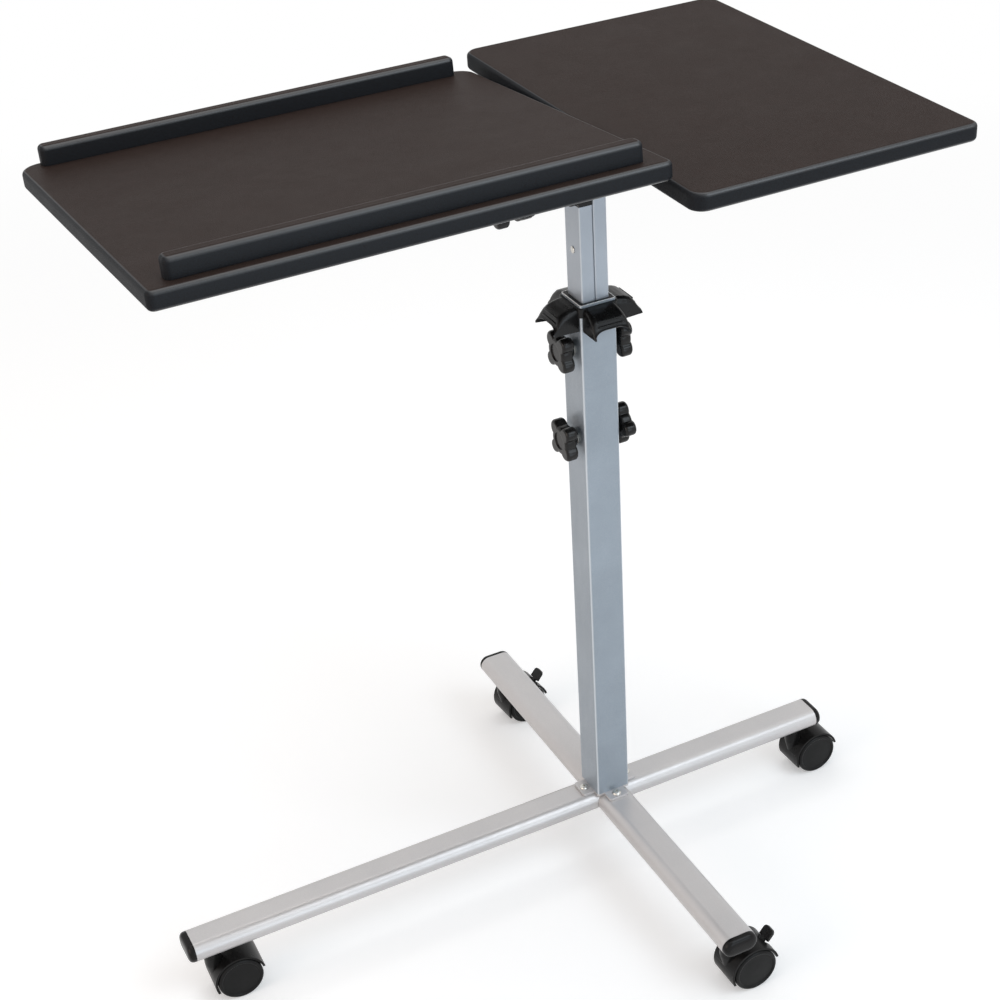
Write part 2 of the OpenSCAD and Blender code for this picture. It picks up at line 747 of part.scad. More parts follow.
// The level board's bracket: a plate welded on the right post, with two ribs
module level_bracket() {
    plate_z = level_under - sheet_t;
    rib_end = plate_reach - rib_inset;
    color(black) at_column() difference() {
        union() {
            translate([post_gap / 2, -plate_d / 2, plate_z])
                cube([plate_reach - post_gap / 2, plate_d, sheet_t]);
            for (s = [-1, 1]) translate([0, s * (post_y / 2 - sheet_t), plate_z]) rotate([90, 0, 0])
                linear_extrude(sheet_t, center = true)
                    polygon([[post_out, 0], [post_out, -rib_h], [rib_end, -rib_tip], [rib_end, 0]]);
        }
        plate_holes(level_xs, plate_z);
    }
}

module level_screws() { color(steel) at_column() board_screws(level_xs, level_under - sheet_t); }

module level_board() {
    color(board_black) at_column() difference() {
        translate([0, 0, level_under])
            rounded_slab([board_gap, -level_front], [level_far, level_back], board_t,
                         [level_inner_corner, level_outer_corner, level_outer_corner, level_inner_corner],
                         board_edge, board_edge);
        board_holes(level_xs, level_under);
    }
}

// Flanged plastic sockets in the legs' undersides
module stem_sockets() {
    socket_top = leg_top - leg_wall;
    color(black) for (s = caster_sites) at_site(s) difference() {
        union() {
            translate([0, 0, leg_bottom]) cylinder(r = socket_r, h = socket_top - leg_bottom);
            translate([0, 0, leg_bottom - socket_flange_t]) cylinder(r = socket_r + 2, h = socket_flange_t);
        }
        translate([0, 0, leg_bottom - 2 * cut]) cylinder(r = stem_r, h = socket_top - leg_bottom + cut);
    }
}

// Steel stems, pressed in the sockets and standing in the hoods
module caster_stems() {
    color(steel) for (s = caster_sites) at_site(s) {
        translate([0, 0, caster_stem_foot])
            cylinder(r = stem_r, h = leg_top - leg_wall - 2 * cut - caster_stem_foot);
        translate([0, 0, boss_top + stem_play])
            cylinder(r = stem_r + 3, h = leg_bottom - socket_flange_t - boss_top - stem_play);
    }
}

// How far a hood reaches along +X from its stem, with its trail turned by angle
function hood_reach(angle) = let (end = cos(angle) > 0 ? cos(rear_angle) : -1)
    cos(angle) * (caster_trail + end * hood_r) + abs(sin(angle)) * hood_half;

// Side view of a hood: a round cowl over the wheels, cut level in front and behind
module hood_side() {
    difference() {
        translate([caster_trail, wheel_r]) circle(hood_r);
        translate([-hood_r, -hood_r]) square([caster_trail + hood_r, hood_r + skirt_z]);
        translate([caster_trail, -hood_r]) square([2 * hood_r, hood_r + wheel_r + hood_r * sin(rear_angle)]);
    }
    translate([caster_trail, wheel_r]) circle(web_r);
}

// The gap between the hood's two lobes, where a pedal's paddle stands
module paddle_slot() {
    outer = 2 * hood_r;
    steep = 58;
    translate([caster_trail, 0, wheel_r]) rotate([90, 0, 0])
        linear_extrude(2 * (paddle_half + pedal_gap), center = true)
            polygon([pedal_pin + [7, 7], outer * [cos(steep), sin(steep)], [outer, outer],
                     [outer, 0], [web_r, 0], pedal_pin + [8, -4]]);
}

// The slot in the web where a pedal's arm swings
module arm_slot() {
    swing_r = pedal_eye_r + pedal_gap;
    translate([caster_trail + pedal_pin[0], 0, wheel_r + pedal_pin[1]]) rotate([90, 0, 0])
        linear_extrude(2 * (pedal_half + pedal_gap), center = true) {
            circle(swing_r);
            polygon([[-2, swing_r], [12, 18], [20, 0], [8, -10], [0, -swing_r]]);
        }
}

module caster_hood(site, braked) {
    stem_hole_z = caster_stem_foot - cut;
    color(black) at_site(site) difference() {
        union() {
            rotate([90, 0, 0]) linear_extrude(2 * hood_half, center = true) hood_side();
            translate([0, 0, wheel_r]) cylinder(r1 = stem_r, r2 = boss_r, h = boss_cone);
            translate([0, 0, wheel_r + boss_cone]) cylinder(r = boss_r, h = boss_top - wheel_r - boss_cone);
        }
        for (s = [-1, 1]) translate([caster_trail, s * (web_half + hood_half), wheel_r])
            rod_y(2 * hood_half, pocket_r);
        translate([0, 0, stem_hole_z]) cylinder(r = stem_r + stem_clear, h = leg_bottom);
        translate([caster_trail, 0, wheel_r]) rod_y(4 * web_half, axle_r);
        if (braked) {
            paddle_slot();
            arm_slot();
            pedal_place() rod_y(4 * web_half, pedal_pin_r);
        }
    }
}

// The pedal's pin, behind and over the axle
module pedal_place() {
    translate([caster_trail + pedal_pin[0], 0, wheel_r + pedal_pin[1]]) children();
}

module caster_axle(site, braked) {
    color(steel) at_site(site) {
        translate([caster_trail, 0, wheel_r]) rod_y(2 * (wheel_in + wheel_w - wheel_cap) - cut, axle_r);
        if (braked) pedal_place() rod_y(2 * web_half, pedal_pin_r);
    }
}

// A wheel with a tread, a dished and closed outer face and a hub; side is -1 in front and 1 behind
module caster_wheel(site, side) {
    inner_round = 1;
    outer_round = 3;
    rim_t = 5;
    dish = 1.2;
    bore_r = axle_r + axle_clear;
    profile = concat(
        [[bore_r, 0], [wheel_r - 2 * inner_round, 0]],
        arc(wheel_r - inner_round, inner_round, inner_round, -90, 0, 3),
        arc(wheel_r - outer_round, wheel_w - outer_round, outer_round, 0, 90, 4),
        [[wheel_r - rim_t, wheel_w], [wheel_r - rim_t - 1, wheel_w - dish],
         [wheel_r * 0.4, wheel_w - dish / 2], [0, wheel_w - dish / 3],
         [0, wheel_w - wheel_cap], [bore_r, wheel_w - wheel_cap]]
    );
    color(tyre) at_site(site) translate([caster_trail, side * wheel_in, wheel_r])
        rotate([-90 * side, 0, 0]) rotate_extrude($fn = 64) polygon(profile);
}

// A brake pedal: an eye and an arm in the web's slot, and a round-ended paddle between the lobes
module brake_pedal(site) {
    straight = paddle_len - paddle_round;
    side = paddle_half - paddle_round;
    arm_root = pedal_eye_r * [0.375, -0.925];
    color(black) at_site(site) difference() {
        pedal_place() {
            rotate([90, 0, 0]) linear_extrude(2 * pedal_half, center = true) {
                circle(pedal_eye_r);
                polygon([-arm_root, arm_root, paddle_base + [1.5, -1.5], paddle_base + [3, 3],
                         paddle_base + [-1.5, 1.5]]);
            }
            translate([paddle_base[0], 0, paddle_base[1]]) rotate([0, -paddle_rise, 0])
                translate([0, 0, -paddle_t / 2]) linear_extrude(paddle_t) {
                    translate([0, -paddle_half]) square([straight, 2 * paddle_half]);
                    translate([0, -side]) square([paddle_len, 2 * side]);
                    for (s = [-1, 1]) translate([straight, s * side]) circle(paddle_round);
                }
        }
        pedal_place() rod_y(4 * paddle_half, pedal_pin_r + pin_clear);
    }
}

long_leg();
side_leg(-1);  // front_leg
side_leg(1);  // back_leg
end_cap(180, leg_left);  // left_end_cap
end_cap(0, leg_right);  // right_end_cap
end_cap(-90, leg_side);  // front_end_cap
end_cap(90, leg_side);  // back_end_cap
foot_plate();
foot_screws();
column_tube();
collar();
guide(rim_z, top_guide_len, clamp_upper_z);  // top_guide
guide(lower_guide_z, lower_guide_len, clamp_lower_z);  // lower_guide
rivet_nuts();
stem_sockets();
caster_stems();
clamp_knob(-1, clamp_upper_z, 0);  // knob_left_upper
clamp_knob(-1, clamp_lower_z, 0);  // knob_left_lower
clamp_knob(1, clamp_upper_z, 0);  // knob_right_upper
clamp_knob(1, clamp_lower_z, lower_turn);  // knob_right_lower
clamp_stud(-1, clamp_upper_z);  // stud_left_upper
clamp_stud(-1, clamp_lower_z);  // stud_left_lower
clamp_stud(1, clamp_upper_z);  // stud_right_upper
clamp_stud(1, clamp_lower_z);  // stud_right_lower
left_post();
post_plug(-1);  // left_post_plug
stop_rivet();
pivot_head();
pivot_bolt();
tilt_bracket();
tilt_screws();
tilting_board();
rail(-tilting_front + front_rail_inset);  // front_rail
rail(tilting_back - back_rail_inset - rail_w);  // back_rail
friction_disc();
tilt_knob();
tilt_insert();
right_post();
post_plug(1);  // right_post_plug
level_bracket();
level_screws();
level_board();
caster_hood(left_site, false);  // caster_left_hood
caster_hood(front_site, true);  // caster_front_hood
caster_hood(back_site, true);  // caster_back_hood
caster_hood(right_site, false);  // caster_right_hood
caster_axle(left_site, false);  // caster_left_axle
caster_axle(front_site, true);  // caster_front_axle
caster_axle(back_site, true);  // caster_back_axle
caster_axle(right_site, false);  // caster_right_axle
caster_wheel(left_site, -1);  // caster_left_wheel_a
caster_wheel(left_site, 1);  // caster_left_wheel_b
caster_wheel(front_site, -1);  // caster_front_wheel_a
caster_wheel(front_site, 1);  // caster_front_wheel_b
caster_wheel(back_site, -1);  // caster_back_wheel_a
caster_wheel(back_site, 1);  // caster_back_wheel_b
caster_wheel(right_site, -1);  // caster_right_wheel_a
caster_wheel(right_site, 1);  // caster_right_wheel_b
brake_pedal(front_site);  // brake_pedal_front
brake_pedal(back_site);  // brake_pedal_back
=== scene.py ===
"""A rolling stand for a laptop and a small projector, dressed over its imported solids.

Lengths are in millimetres in the classes' fields and in metres in the meshes. +Z is up, +X runs
from the tilting board to the level board, and the front of the stand is -Y.
"""
import json
import logging
import math
from collections.abc import Sequence
from dataclasses import dataclass, field
from enum import Enum

import bmesh
import bpy
import numpy as np
from mathutils import Matrix, Vector

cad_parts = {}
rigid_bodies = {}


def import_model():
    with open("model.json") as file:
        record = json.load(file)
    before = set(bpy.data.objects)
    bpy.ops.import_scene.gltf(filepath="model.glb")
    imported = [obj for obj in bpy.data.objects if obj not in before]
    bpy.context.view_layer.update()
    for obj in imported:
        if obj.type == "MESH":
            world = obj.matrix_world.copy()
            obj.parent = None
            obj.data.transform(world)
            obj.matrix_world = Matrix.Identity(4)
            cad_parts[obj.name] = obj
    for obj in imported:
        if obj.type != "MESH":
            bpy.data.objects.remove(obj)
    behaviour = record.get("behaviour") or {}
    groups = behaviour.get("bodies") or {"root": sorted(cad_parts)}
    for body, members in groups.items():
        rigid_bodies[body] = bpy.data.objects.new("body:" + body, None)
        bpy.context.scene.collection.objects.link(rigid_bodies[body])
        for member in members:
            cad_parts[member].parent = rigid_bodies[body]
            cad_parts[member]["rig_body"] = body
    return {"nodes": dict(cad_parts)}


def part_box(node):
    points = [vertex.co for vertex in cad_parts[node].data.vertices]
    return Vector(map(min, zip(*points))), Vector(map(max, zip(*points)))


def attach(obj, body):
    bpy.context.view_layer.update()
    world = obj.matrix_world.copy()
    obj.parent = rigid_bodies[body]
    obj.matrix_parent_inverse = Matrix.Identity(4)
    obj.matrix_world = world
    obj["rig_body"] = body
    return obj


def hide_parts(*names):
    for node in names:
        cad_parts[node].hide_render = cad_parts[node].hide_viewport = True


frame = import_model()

log = logging.getLogger("laptop_stand")

Socket = bpy.types.NodeSocket
Colour = tuple[float, float, float]

MM = 0.001
# How far inside an edge, in millimetres, a flat face has points that keep its shading flat
FLAT_LINE = 0.8
# Sockets of a colour mix node, whose sockets for other data types go by the same names
MIX_SHARE, MIX_FIRST, MIX_SECOND, MIX_RESULT = 0, 6, 7, 2


def arc(u: float, v: float, radius: float, start: float, end: float, steps: int) -> np.ndarray:
    """Points of an arc: its centre plus the radius times the unit vector at evenly spaced angles.

    Args:
        u: Centre along the first axis.
        v: Centre along the second axis.
        radius: Radius of the arc.
        start: First angle in degrees.
        end: Last angle in degrees.
        steps: Number of equal steps between the angles.

    Returns:
        An array of steps + 1 points, two numbers each.
    """
    angle = np.radians(np.linspace(start, end, steps + 1))
    return np.stack([u + radius * np.cos(angle), v + radius * np.sin(angle)], axis=1)


def lines(*parts: Sequence[Sequence[float]] | np.ndarray) -> np.ndarray:
    """Joins points and arcs into one section line.

    Args:
        *parts: Arrays or lists of points, two numbers each.

    Returns:
        All the points in order, as one array.
    """
    return np.concatenate([np.atleast_2d(np.asarray(part, float)) for part in parts])


def place(*columns: Sequence[float], at: Sequence[float] = (0.0, 0.0, 0.0)) -> Matrix:
    """A placing matrix from three axis columns and an origin.

    Args:
        *columns: Where the local axes point in the frame.
        at: Where the local origin lies, in millimetres.

    Returns:
        The matrix as Blender's 4 by 4.
    """
    basis = np.eye(4)
    basis[:3, :3] = np.array(columns, float).T
    basis[:3, 3] = at
    return Matrix(basis.tolist())


@dataclass(frozen=True)
class Outline:
    """A closed outline in a plane: each point is a centre plus its radius in an outward direction.

    A smaller outline at an inset takes the inset off every radius, which keeps round corners round.

    Attributes:
        centres: Centres of the arcs, one row a point.
        outward: Unit vectors, one row a point.
        radii: Radii, one number a point.
    """

    centres: np.ndarray
    outward: np.ndarray
    radii: np.ndarray

    @classmethod
    def box(cls, low: Sequence[float], high: Sequence[float], radii: Sequence[float],
            steps: int) -> "Outline":
        """A rectangle with round corners, anticlockwise from its low corner.

        Each corner is a quarter turn of the unit vector round a centre that lies one radius in from
        both sides. It starts and ends with a point a little way along the straight side, so that
        the side is shaded flat.

        Args:
            low: Low corner.
            high: High corner.
            radii: The four corner radii, from the low corner anticlockwise.
            steps: Steps of each quarter turn.

        Returns:
            The outline.
        """
        corners = np.array([[low[0], low[1]], [high[0], low[1]],
                            [high[0], high[1]], [low[0], high[1]]], float)
        inward = np.array([[1, 1], [-1, 1], [-1, -1], [1, -1]], float)
        radius = np.asarray(radii, float)
        sides = np.array([high[0] - low[0], high[1] - low[1]] * 2)
        straight = sides - radius - np.roll(radius, -1)
        shift = np.zeros((4, steps + 3))
        shift[:, -1] = np.clip(straight / 4, 0, FLAT_LINE)
        shift[:, 0] = -np.roll(shift[:, -1], 1)
        turn = np.concatenate([[0.0], np.linspace(0, 1, steps + 1), [1.0]])
        angle = math.pi / 2 * (2 + np.arange(4)[:, None] + turn)
        outward = np.stack([np.cos(angle), np.sin(angle)], axis=2)
        onward = np.stack([-np.sin(angle), np.cos(angle)], axis=2)
        centres = (corners + inward * radius[:, None])[:, None] + onward * shift[..., None]
        return cls(centres.reshape(-1, 2), outward.reshape(-1, 2), np.repeat(radius, steps + 3))

    @classmethod
    def round(cls, radii: np.ndarray) -> "Outline":
        """An outline round the origin in evenly spaced directions.

        Args:
            radii: The radius in each direction.

        Returns:
            The outline.
        """
        angle = np.arange(len(radii)) * 2 * math.pi / len(radii)
        outward = np.stack([np.cos(angle), np.sin(angle)], axis=1)
        return cls(np.zeros((len(radii), 2)), outward, np.asarray(radii, float))

    def swept(self, section: np.ndarray) -> np.ndarray:
        """The outline carried up a section line of insets and heights.

        A point is its centre plus its outward direction times the radius less the inset, at the
        height.

        Args:
            section: Rows of inset and height.

        Returns:
            Points in an array of section rows, outline points and three coordinates.
        """
        reach = self.radii[None, :] - section[:, :1]
        flat = self.centres[None] + self.outward[None] * reach[:, :, None]
        height = np.broadcast_to(section[:, 1:2], reach.shape)[:, :, None]
        return np.concatenate([flat, height], axis=2)


def turned(profile: np.ndarray, count: int) -> np.ndarray:
    """A profile carried round its axis in evenly spaced directions.

    It is an outline of no radius, so that an inset of minus the profile's radius reaches out by it.

    Args:
        profile: Rows of radius and height.
        count: Number of directions.

    Returns:
        Points in an array of profile rows, directions and three coordinates.
    """
    return Outline.round(np.zeros(count)).swept(profile * (-1.0, 1.0))


@dataclass(frozen=True)
class Skin:
    """Points and faces of a piece before it is a mesh.

    Attributes:
        points: One row a point.
        faces: Point numbers of each face.
    """

    points: np.ndarray
    faces: list[tuple[int, ...]]

    @classmethod
    def woven(cls, rows: np.ndarray, around: bool = True, loop: bool = False,
              lids: bool = False) -> "Skin":
        """Faces over a grid of points, four points each.

        Args:
            rows: Points in an array of rows, columns and three coordinates.
            around: Whether the last column joins the first.
            loop: Whether the last row joins the first.
            lids: Whether the first and last row are closed with a flat face.

        Returns:
            The skin.
        """
        tall, wide = rows.shape[:2]
        i = np.arange(tall if loop else tall - 1)[:, None]
        j = np.arange(wide if around else wide - 1)[None, :]
        up, right = (i + 1) % tall, (j + 1) % wide
        corners = (i * wide + j, i * wide + right, up * wide + right, up * wide + j)
        quads = np.stack(np.broadcast_arrays(*corners), axis=2)
        faces = [tuple(quad) for quad in quads.reshape(-1, 4).tolist()]
        if lids:
            faces.append(tuple(range(wide - 1, -1, -1)))
            faces.append(tuple(range((tall - 1) * wide, tall * wide)))
        return cls(rows.reshape(-1, 3), faces)

    def moved(self, matrix: Matrix) -> "Skin":
        """The skin with a placing matrix applied to its points."""
        m = np.array(matrix)
        return Skin(self.points @ m[:3, :3].T + m[:3, 3], self.faces)

    def with_others(self, *others: "Skin") -> "Skin":
        """This skin and others as one, with their faces renumbered.

        Args:
            *others: The skins that are added, in order.

        Returns:
            The joined skin.
        """
        points, faces = [self.points], list(self.faces)
        count = len(self.points)
        for other in others:
            points.append(other.points)
            faces += [tuple(k + count for k in face) for face in other.faces]
            count += len(other.points)
        return Skin(np.concatenate(points), faces)


class Wiring:
    """Adds nodes to one material and joins their sockets.

    Attributes:
        octave_share: Share of its strength that each finer octave of a noise keeps.
    """

    octave_share: float = 0.55

    def __init__(self, material: bpy.types.Material) -> None:
        """Clears the material's nodes and adds its shader and its object coordinates.

        Args:
            material: The material to fill.
        """
        material.use_nodes = True
        self.tree = material.node_tree
        self.tree.nodes.clear()
        self.output = self.add("ShaderNodeOutputMaterial")
        self.shader = self.add("ShaderNodeBsdfPrincipled")
        self.join(self.shader.outputs["BSDF"], self.output.inputs["Surface"])
        places = self.add("ShaderNodeTexCoord")
        self.coordinates, self.normal = places.outputs["Object"], places.outputs["Normal"]

    def add(self, kind: str, **settings: object) -> bpy.types.Node:
        """Adds a node and sets its properties.

        Args:
            kind: Blender's name of the node type.
            **settings: Properties of the node and their values.

        Returns:
            The node.
        """
        node = self.tree.nodes.new(kind)
        for name, value in settings.items():
            setattr(node, name, value)
        return node

    def join(self, source: Socket, target: Socket) -> None:
        """Links one socket to another."""
        self.tree.links.new(source, target)

    def sized(self, vector: Socket, *axes: int) -> Socket:
        """The largest size of a vector along some of its axes.

        Args:
            vector: The vector.
            *axes: Numbers of the axes.

        Returns:
            The largest absolute value.
        """
        parts = self.add("ShaderNodeSeparateXYZ")
        self.join(vector, parts.inputs[0])
        last = None
        for axis in axes:
            size = self.add("ShaderNodeMath", operation="ABSOLUTE")
            self.join(parts.outputs[axis], size.inputs[0])
            if last is not None:
                larger = self.add("ShaderNodeMath", operation="MAXIMUM")
                self.join(last, larger.inputs[0])
                self.join(size.outputs[0], larger.inputs[1])
                size = larger
            last = size.outputs[0]
        return last

    def stretched(self, scale: Sequence[float]) -> Socket:
        """Object coordinates scaled along each axis.

        Args:
            scale: The three factors.

        Returns:
            The scaled coordinates.
        """
        mapping = self.add("ShaderNodeMapping")
        mapping.inputs["Scale"].default_value = scale
        self.join(self.coordinates, mapping.inputs["Vector"])
        return mapping.outputs["Vector"]

    def noise(self, size_mm: float, detail: float, vector: Socket | None = None) -> Socket:
        """Cloudy noise whose patches are about a given size.

        Args:
            size_mm: Size of a patch in millimetres.
            detail: Octaves of finer noise.
            vector: Coordinates, or the plain object coordinates.

        Returns:
            The noise, from 0 to 1.
        """
        node = self.add("ShaderNodeTexNoise")
        node.inputs["Scale"].default_value = 1 / (size_mm * MM)
        node.inputs["Detail"].default_value = detail
        node.inputs["Roughness"].default_value = self.octave_share
        self.join(vector or self.coordinates, node.inputs["Vector"])
        return node.outputs["Fac"]

    def cells(self, size_mm: float) -> Socket:
        """Distance to the nearest border in a field of cells of about a given size.

        Args:
            size_mm: Size of a cell in millimetres.

        Returns:
            The distance, as a share of a cell's size.
        """
        node = self.add("ShaderNodeTexVoronoi", feature="DISTANCE_TO_EDGE")
        node.inputs["Scale"].default_value = 1 / (size_mm * MM)
        self.join(self.coordinates, node.inputs["Vector"])
        return node.outputs["Distance"]

    def spread(self, value: Socket, low: float, high: float,
               start: float = 0.3, end: float = 0.7) -> Socket:
        """Maps a value from one range to another.

        Args:
            value: What is mapped.
            low: Result at the start.
            high: Result at the end.
            start: Value that gives the low result.
            end: Value that gives the high result.

        Returns:
            The mapped value, held between both results.
        """
        node = self.add("ShaderNodeMapRange")
        limits = {"From Min": start, "From Max": end, "To Min": low, "To Max": high}
        for name, number in limits.items():
            node.inputs[name].default_value = number
        self.join(value, node.inputs["Value"])
        return node.outputs["Result"]

    def times(self, first: Socket, *others: Socket) -> Socket:
        """The product of several values.

        Args:
            first: The first value.
            *others: The values that it is multiplied by.

        Returns:
            The product.
        """
        for other in others:
            product = self.add("ShaderNodeMath", operation="MULTIPLY")
            self.join(first, product.inputs[0])
            self.join(other, product.inputs[1])
            first = product.outputs[0]
        return first

    def blended(self, share: Socket, first: Socket | Colour, second: Socket | Colour) -> Socket:
        """A mix of two colours, each a value or a socket.

        Args:
            share: Share of the second colour.
            first: Colour where the share is 0.
            second: Colour where the share is 1.

        Returns:
            The mixed colour.
        """
        node = self.add("ShaderNodeMix", data_type="RGBA")
        self.join(share, node.inputs[MIX_SHARE])
        for number, colour in ((MIX_FIRST, first), (MIX_SECOND, second)):
            if isinstance(colour, Socket):
                self.join(colour, node.inputs[number])
            else:
                node.inputs[number].default_value = (*colour, 1.0)
        return node.outputs[MIX_RESULT]

    def bumps(self, *fields: tuple[Socket, float]) -> None:
        """Stacks height fields on the shader's normal.

        Args:
            *fields: Each height field and the depth of its relief in millimetres.
        """
        below = None
        for height, depth in fields:
            node = self.add("ShaderNodeBump")
            node.inputs["Strength"].default_value = 1.0
            node.inputs["Distance"].default_value = depth * MM
            self.join(height, node.inputs["Height"])
            if below is not None:
                self.join(below, node.inputs["Normal"])
            below = node.outputs["Normal"]
        self.join(below, self.shader.inputs["Normal"])


@dataclass(frozen=True)
class Finish:
    """A surface finish: two shades in patches, a roughness range and fine relief.

    Attributes:
        name: Name of the material.
        slot: The record's material slot; not used.
        colour: Main colour, linear.
        shade: Colour of the patches, linear.
        patch: Size of the patches in millimetres.
        rough: Lowest and highest roughness.
        smudge: Size of the roughness patches in millimetres.
        relief: Size of the finest relief in millimetres.
        depth: Depth of the finest relief in millimetres.
        metallic: Metallic share.
        coat: Weight of a clear gloss coat.
        coat_rough: Roughness of that coat.
        specular: Specular level.
    """

    name: str
    slot: str
    colour: Colour
    shade: Colour
    patch: float = 40.0
    rough: tuple[float, float] = (0.35, 0.45)
    smudge: float = 60.0
    relief: float = 0.6
    depth: float = 0.01
    metallic: float = 0.0
    coat: float = 0.0
    coat_rough: float = 0.12
    specular: float = 0.5

    def material(self) -> bpy.types.Material:
        """The finish's material, made once and then shared.

        Returns:
            The material.
        """
        found = bpy.data.materials.get(self.name)
        if found is not None:
            return found
        made = bpy.data.materials.new(self.name)
        wiring = Wiring(made)
        shader = wiring.shader
        shader.inputs["Metallic"].default_value = self.metallic
        shader.inputs["Specular IOR Level"].default_value = self.specular
        shader.inputs["Coat Weight"].default_value = self.coat
        shader.inputs["Coat Roughness"].default_value = self.coat_rough
        wiring.join(self.tint(wiring), shader.inputs["Base Color"])
        wiring.join(self.gloss(wiring), shader.inputs["Roughness"])
        wiring.bumps(*self.surface(wiring))
        return made

    def tint(self, wiring: Wiring) -> Socket:
        """The colour: the two shades, mixed by soft patches."""
        patches = wiring.spread(wiring.noise(self.patch, detail=4.0), low=0.0, high=1.0)
        return wiring.blended(patches, self.colour, self.shade)

    def gloss(self, wiring: Wiring) -> Socket:
        """The roughness: between its two limits, by faint smudges."""
        return wiring.spread(wiring.noise(self.smudge, detail=5.0), *self.rough)

    def surface(self, wiring: Wiring) -> list[tuple[Socket, float]]:
        """The relief: fine grain at one scale."""
        return [(wiring.noise(self.relief, detail=2.0), self.depth)]


@dataclass(frozen=True)
class SatinPaint(Finish):
    """Silver powder coat: orange peel over fine sparkle, faint rub marks along Z, and a painted
    corner highlight.

    Attributes:
        bare_over: Height in millimetres over which the metal is bare and bright.
        corners: How far a painted highlight lightens the upright corners.
        bare: Colour of the bare metal, linear.
        corner_highlight: Colour of the painted highlight on the corners, linear.
        sparkle: Colour of the sparkle, linear.
        sparkle_size: Size of its grains in millimetres.
        sparkle_share: How far the grains take the sparkle's colour.
        rub: Size of the rub marks across Z in millimetres.
        rub_scale: Factors on the coordinates that draw the rub marks out along Z.
        peel: Size of the orange peel in millimetres.
        peel_depth: Depth of the orange peel in millimetres.
    """

    bare_over: float = 1e6
    corners: float = 0.0
    bare: Colour = (0.93, 0.93, 0.92)
    corner_highlight: Colour = (0.80, 0.84, 0.87)
    sparkle: Colour = (0.78, 0.78, 0.77)
    sparkle_size: float = 0.35
    sparkle_share: float = 0.35
    rub: float = 9.0
    rub_scale: tuple[float, float, float] = (1.0, 1.0, 0.12)
    peel: float = 2.6
    peel_depth: float = 0.02

    def tint(self, wiring: Wiring) -> Socket:
        """The colour: two shades in patches, fine sparkle, a painted corner highlight and a bare
        cut rim.

        The object's own normal tells the corners: its largest part is 1 on the flat sides and 0.71
        in the middle of a corner's rounding.

        Args:
            wiring: The material's wiring.

        Returns:
            The colour.
        """
        base = super().tint(wiring)
        grains = wiring.noise(self.sparkle_size, detail=1.0)
        glints = wiring.spread(grains, low=0.0, high=self.sparkle_share, start=0.5, end=0.75)
        painted = wiring.blended(glints, base, self.sparkle)
        parts = wiring.add("ShaderNodeSeparateXYZ")
        wiring.join(wiring.coordinates, parts.inputs[0])
        # Painted highlight: the rounded corners, told by their facing, are lightened towards a pale
        # blue that stands in for light caught there
        flatness = wiring.sized(wiring.normal, 0, 1, 2)
        corner = wiring.spread(flatness, low=self.corners, high=0.0, start=0.72, end=0.97)
        painted = wiring.blended(corner, painted, self.corner_highlight)
        over, blur = self.bare_over * MM, 0.1 * MM
        rim = wiring.spread(parts.outputs["Z"], low=0.0, high=1.0, start=over, end=over + blur)
        return wiring.blended(rim, painted, self.bare)

    def gloss(self, wiring: Wiring) -> Socket:
        """The roughness: long faint rubs along Z."""
        rubs = wiring.noise(self.rub, detail=5.0, vector=wiring.stretched(self.rub_scale))
        return wiring.spread(rubs, *self.rough)

    def surface(self, wiring: Wiring) -> list[tuple[Socket, float]]:
        """The relief: orange peel and fine grain."""
        peel, grain = wiring.noise(self.peel, detail=2.0), wiring.noise(self.relief, detail=2.0)
        return [(peel, self.peel_depth), (grain, self.depth)]


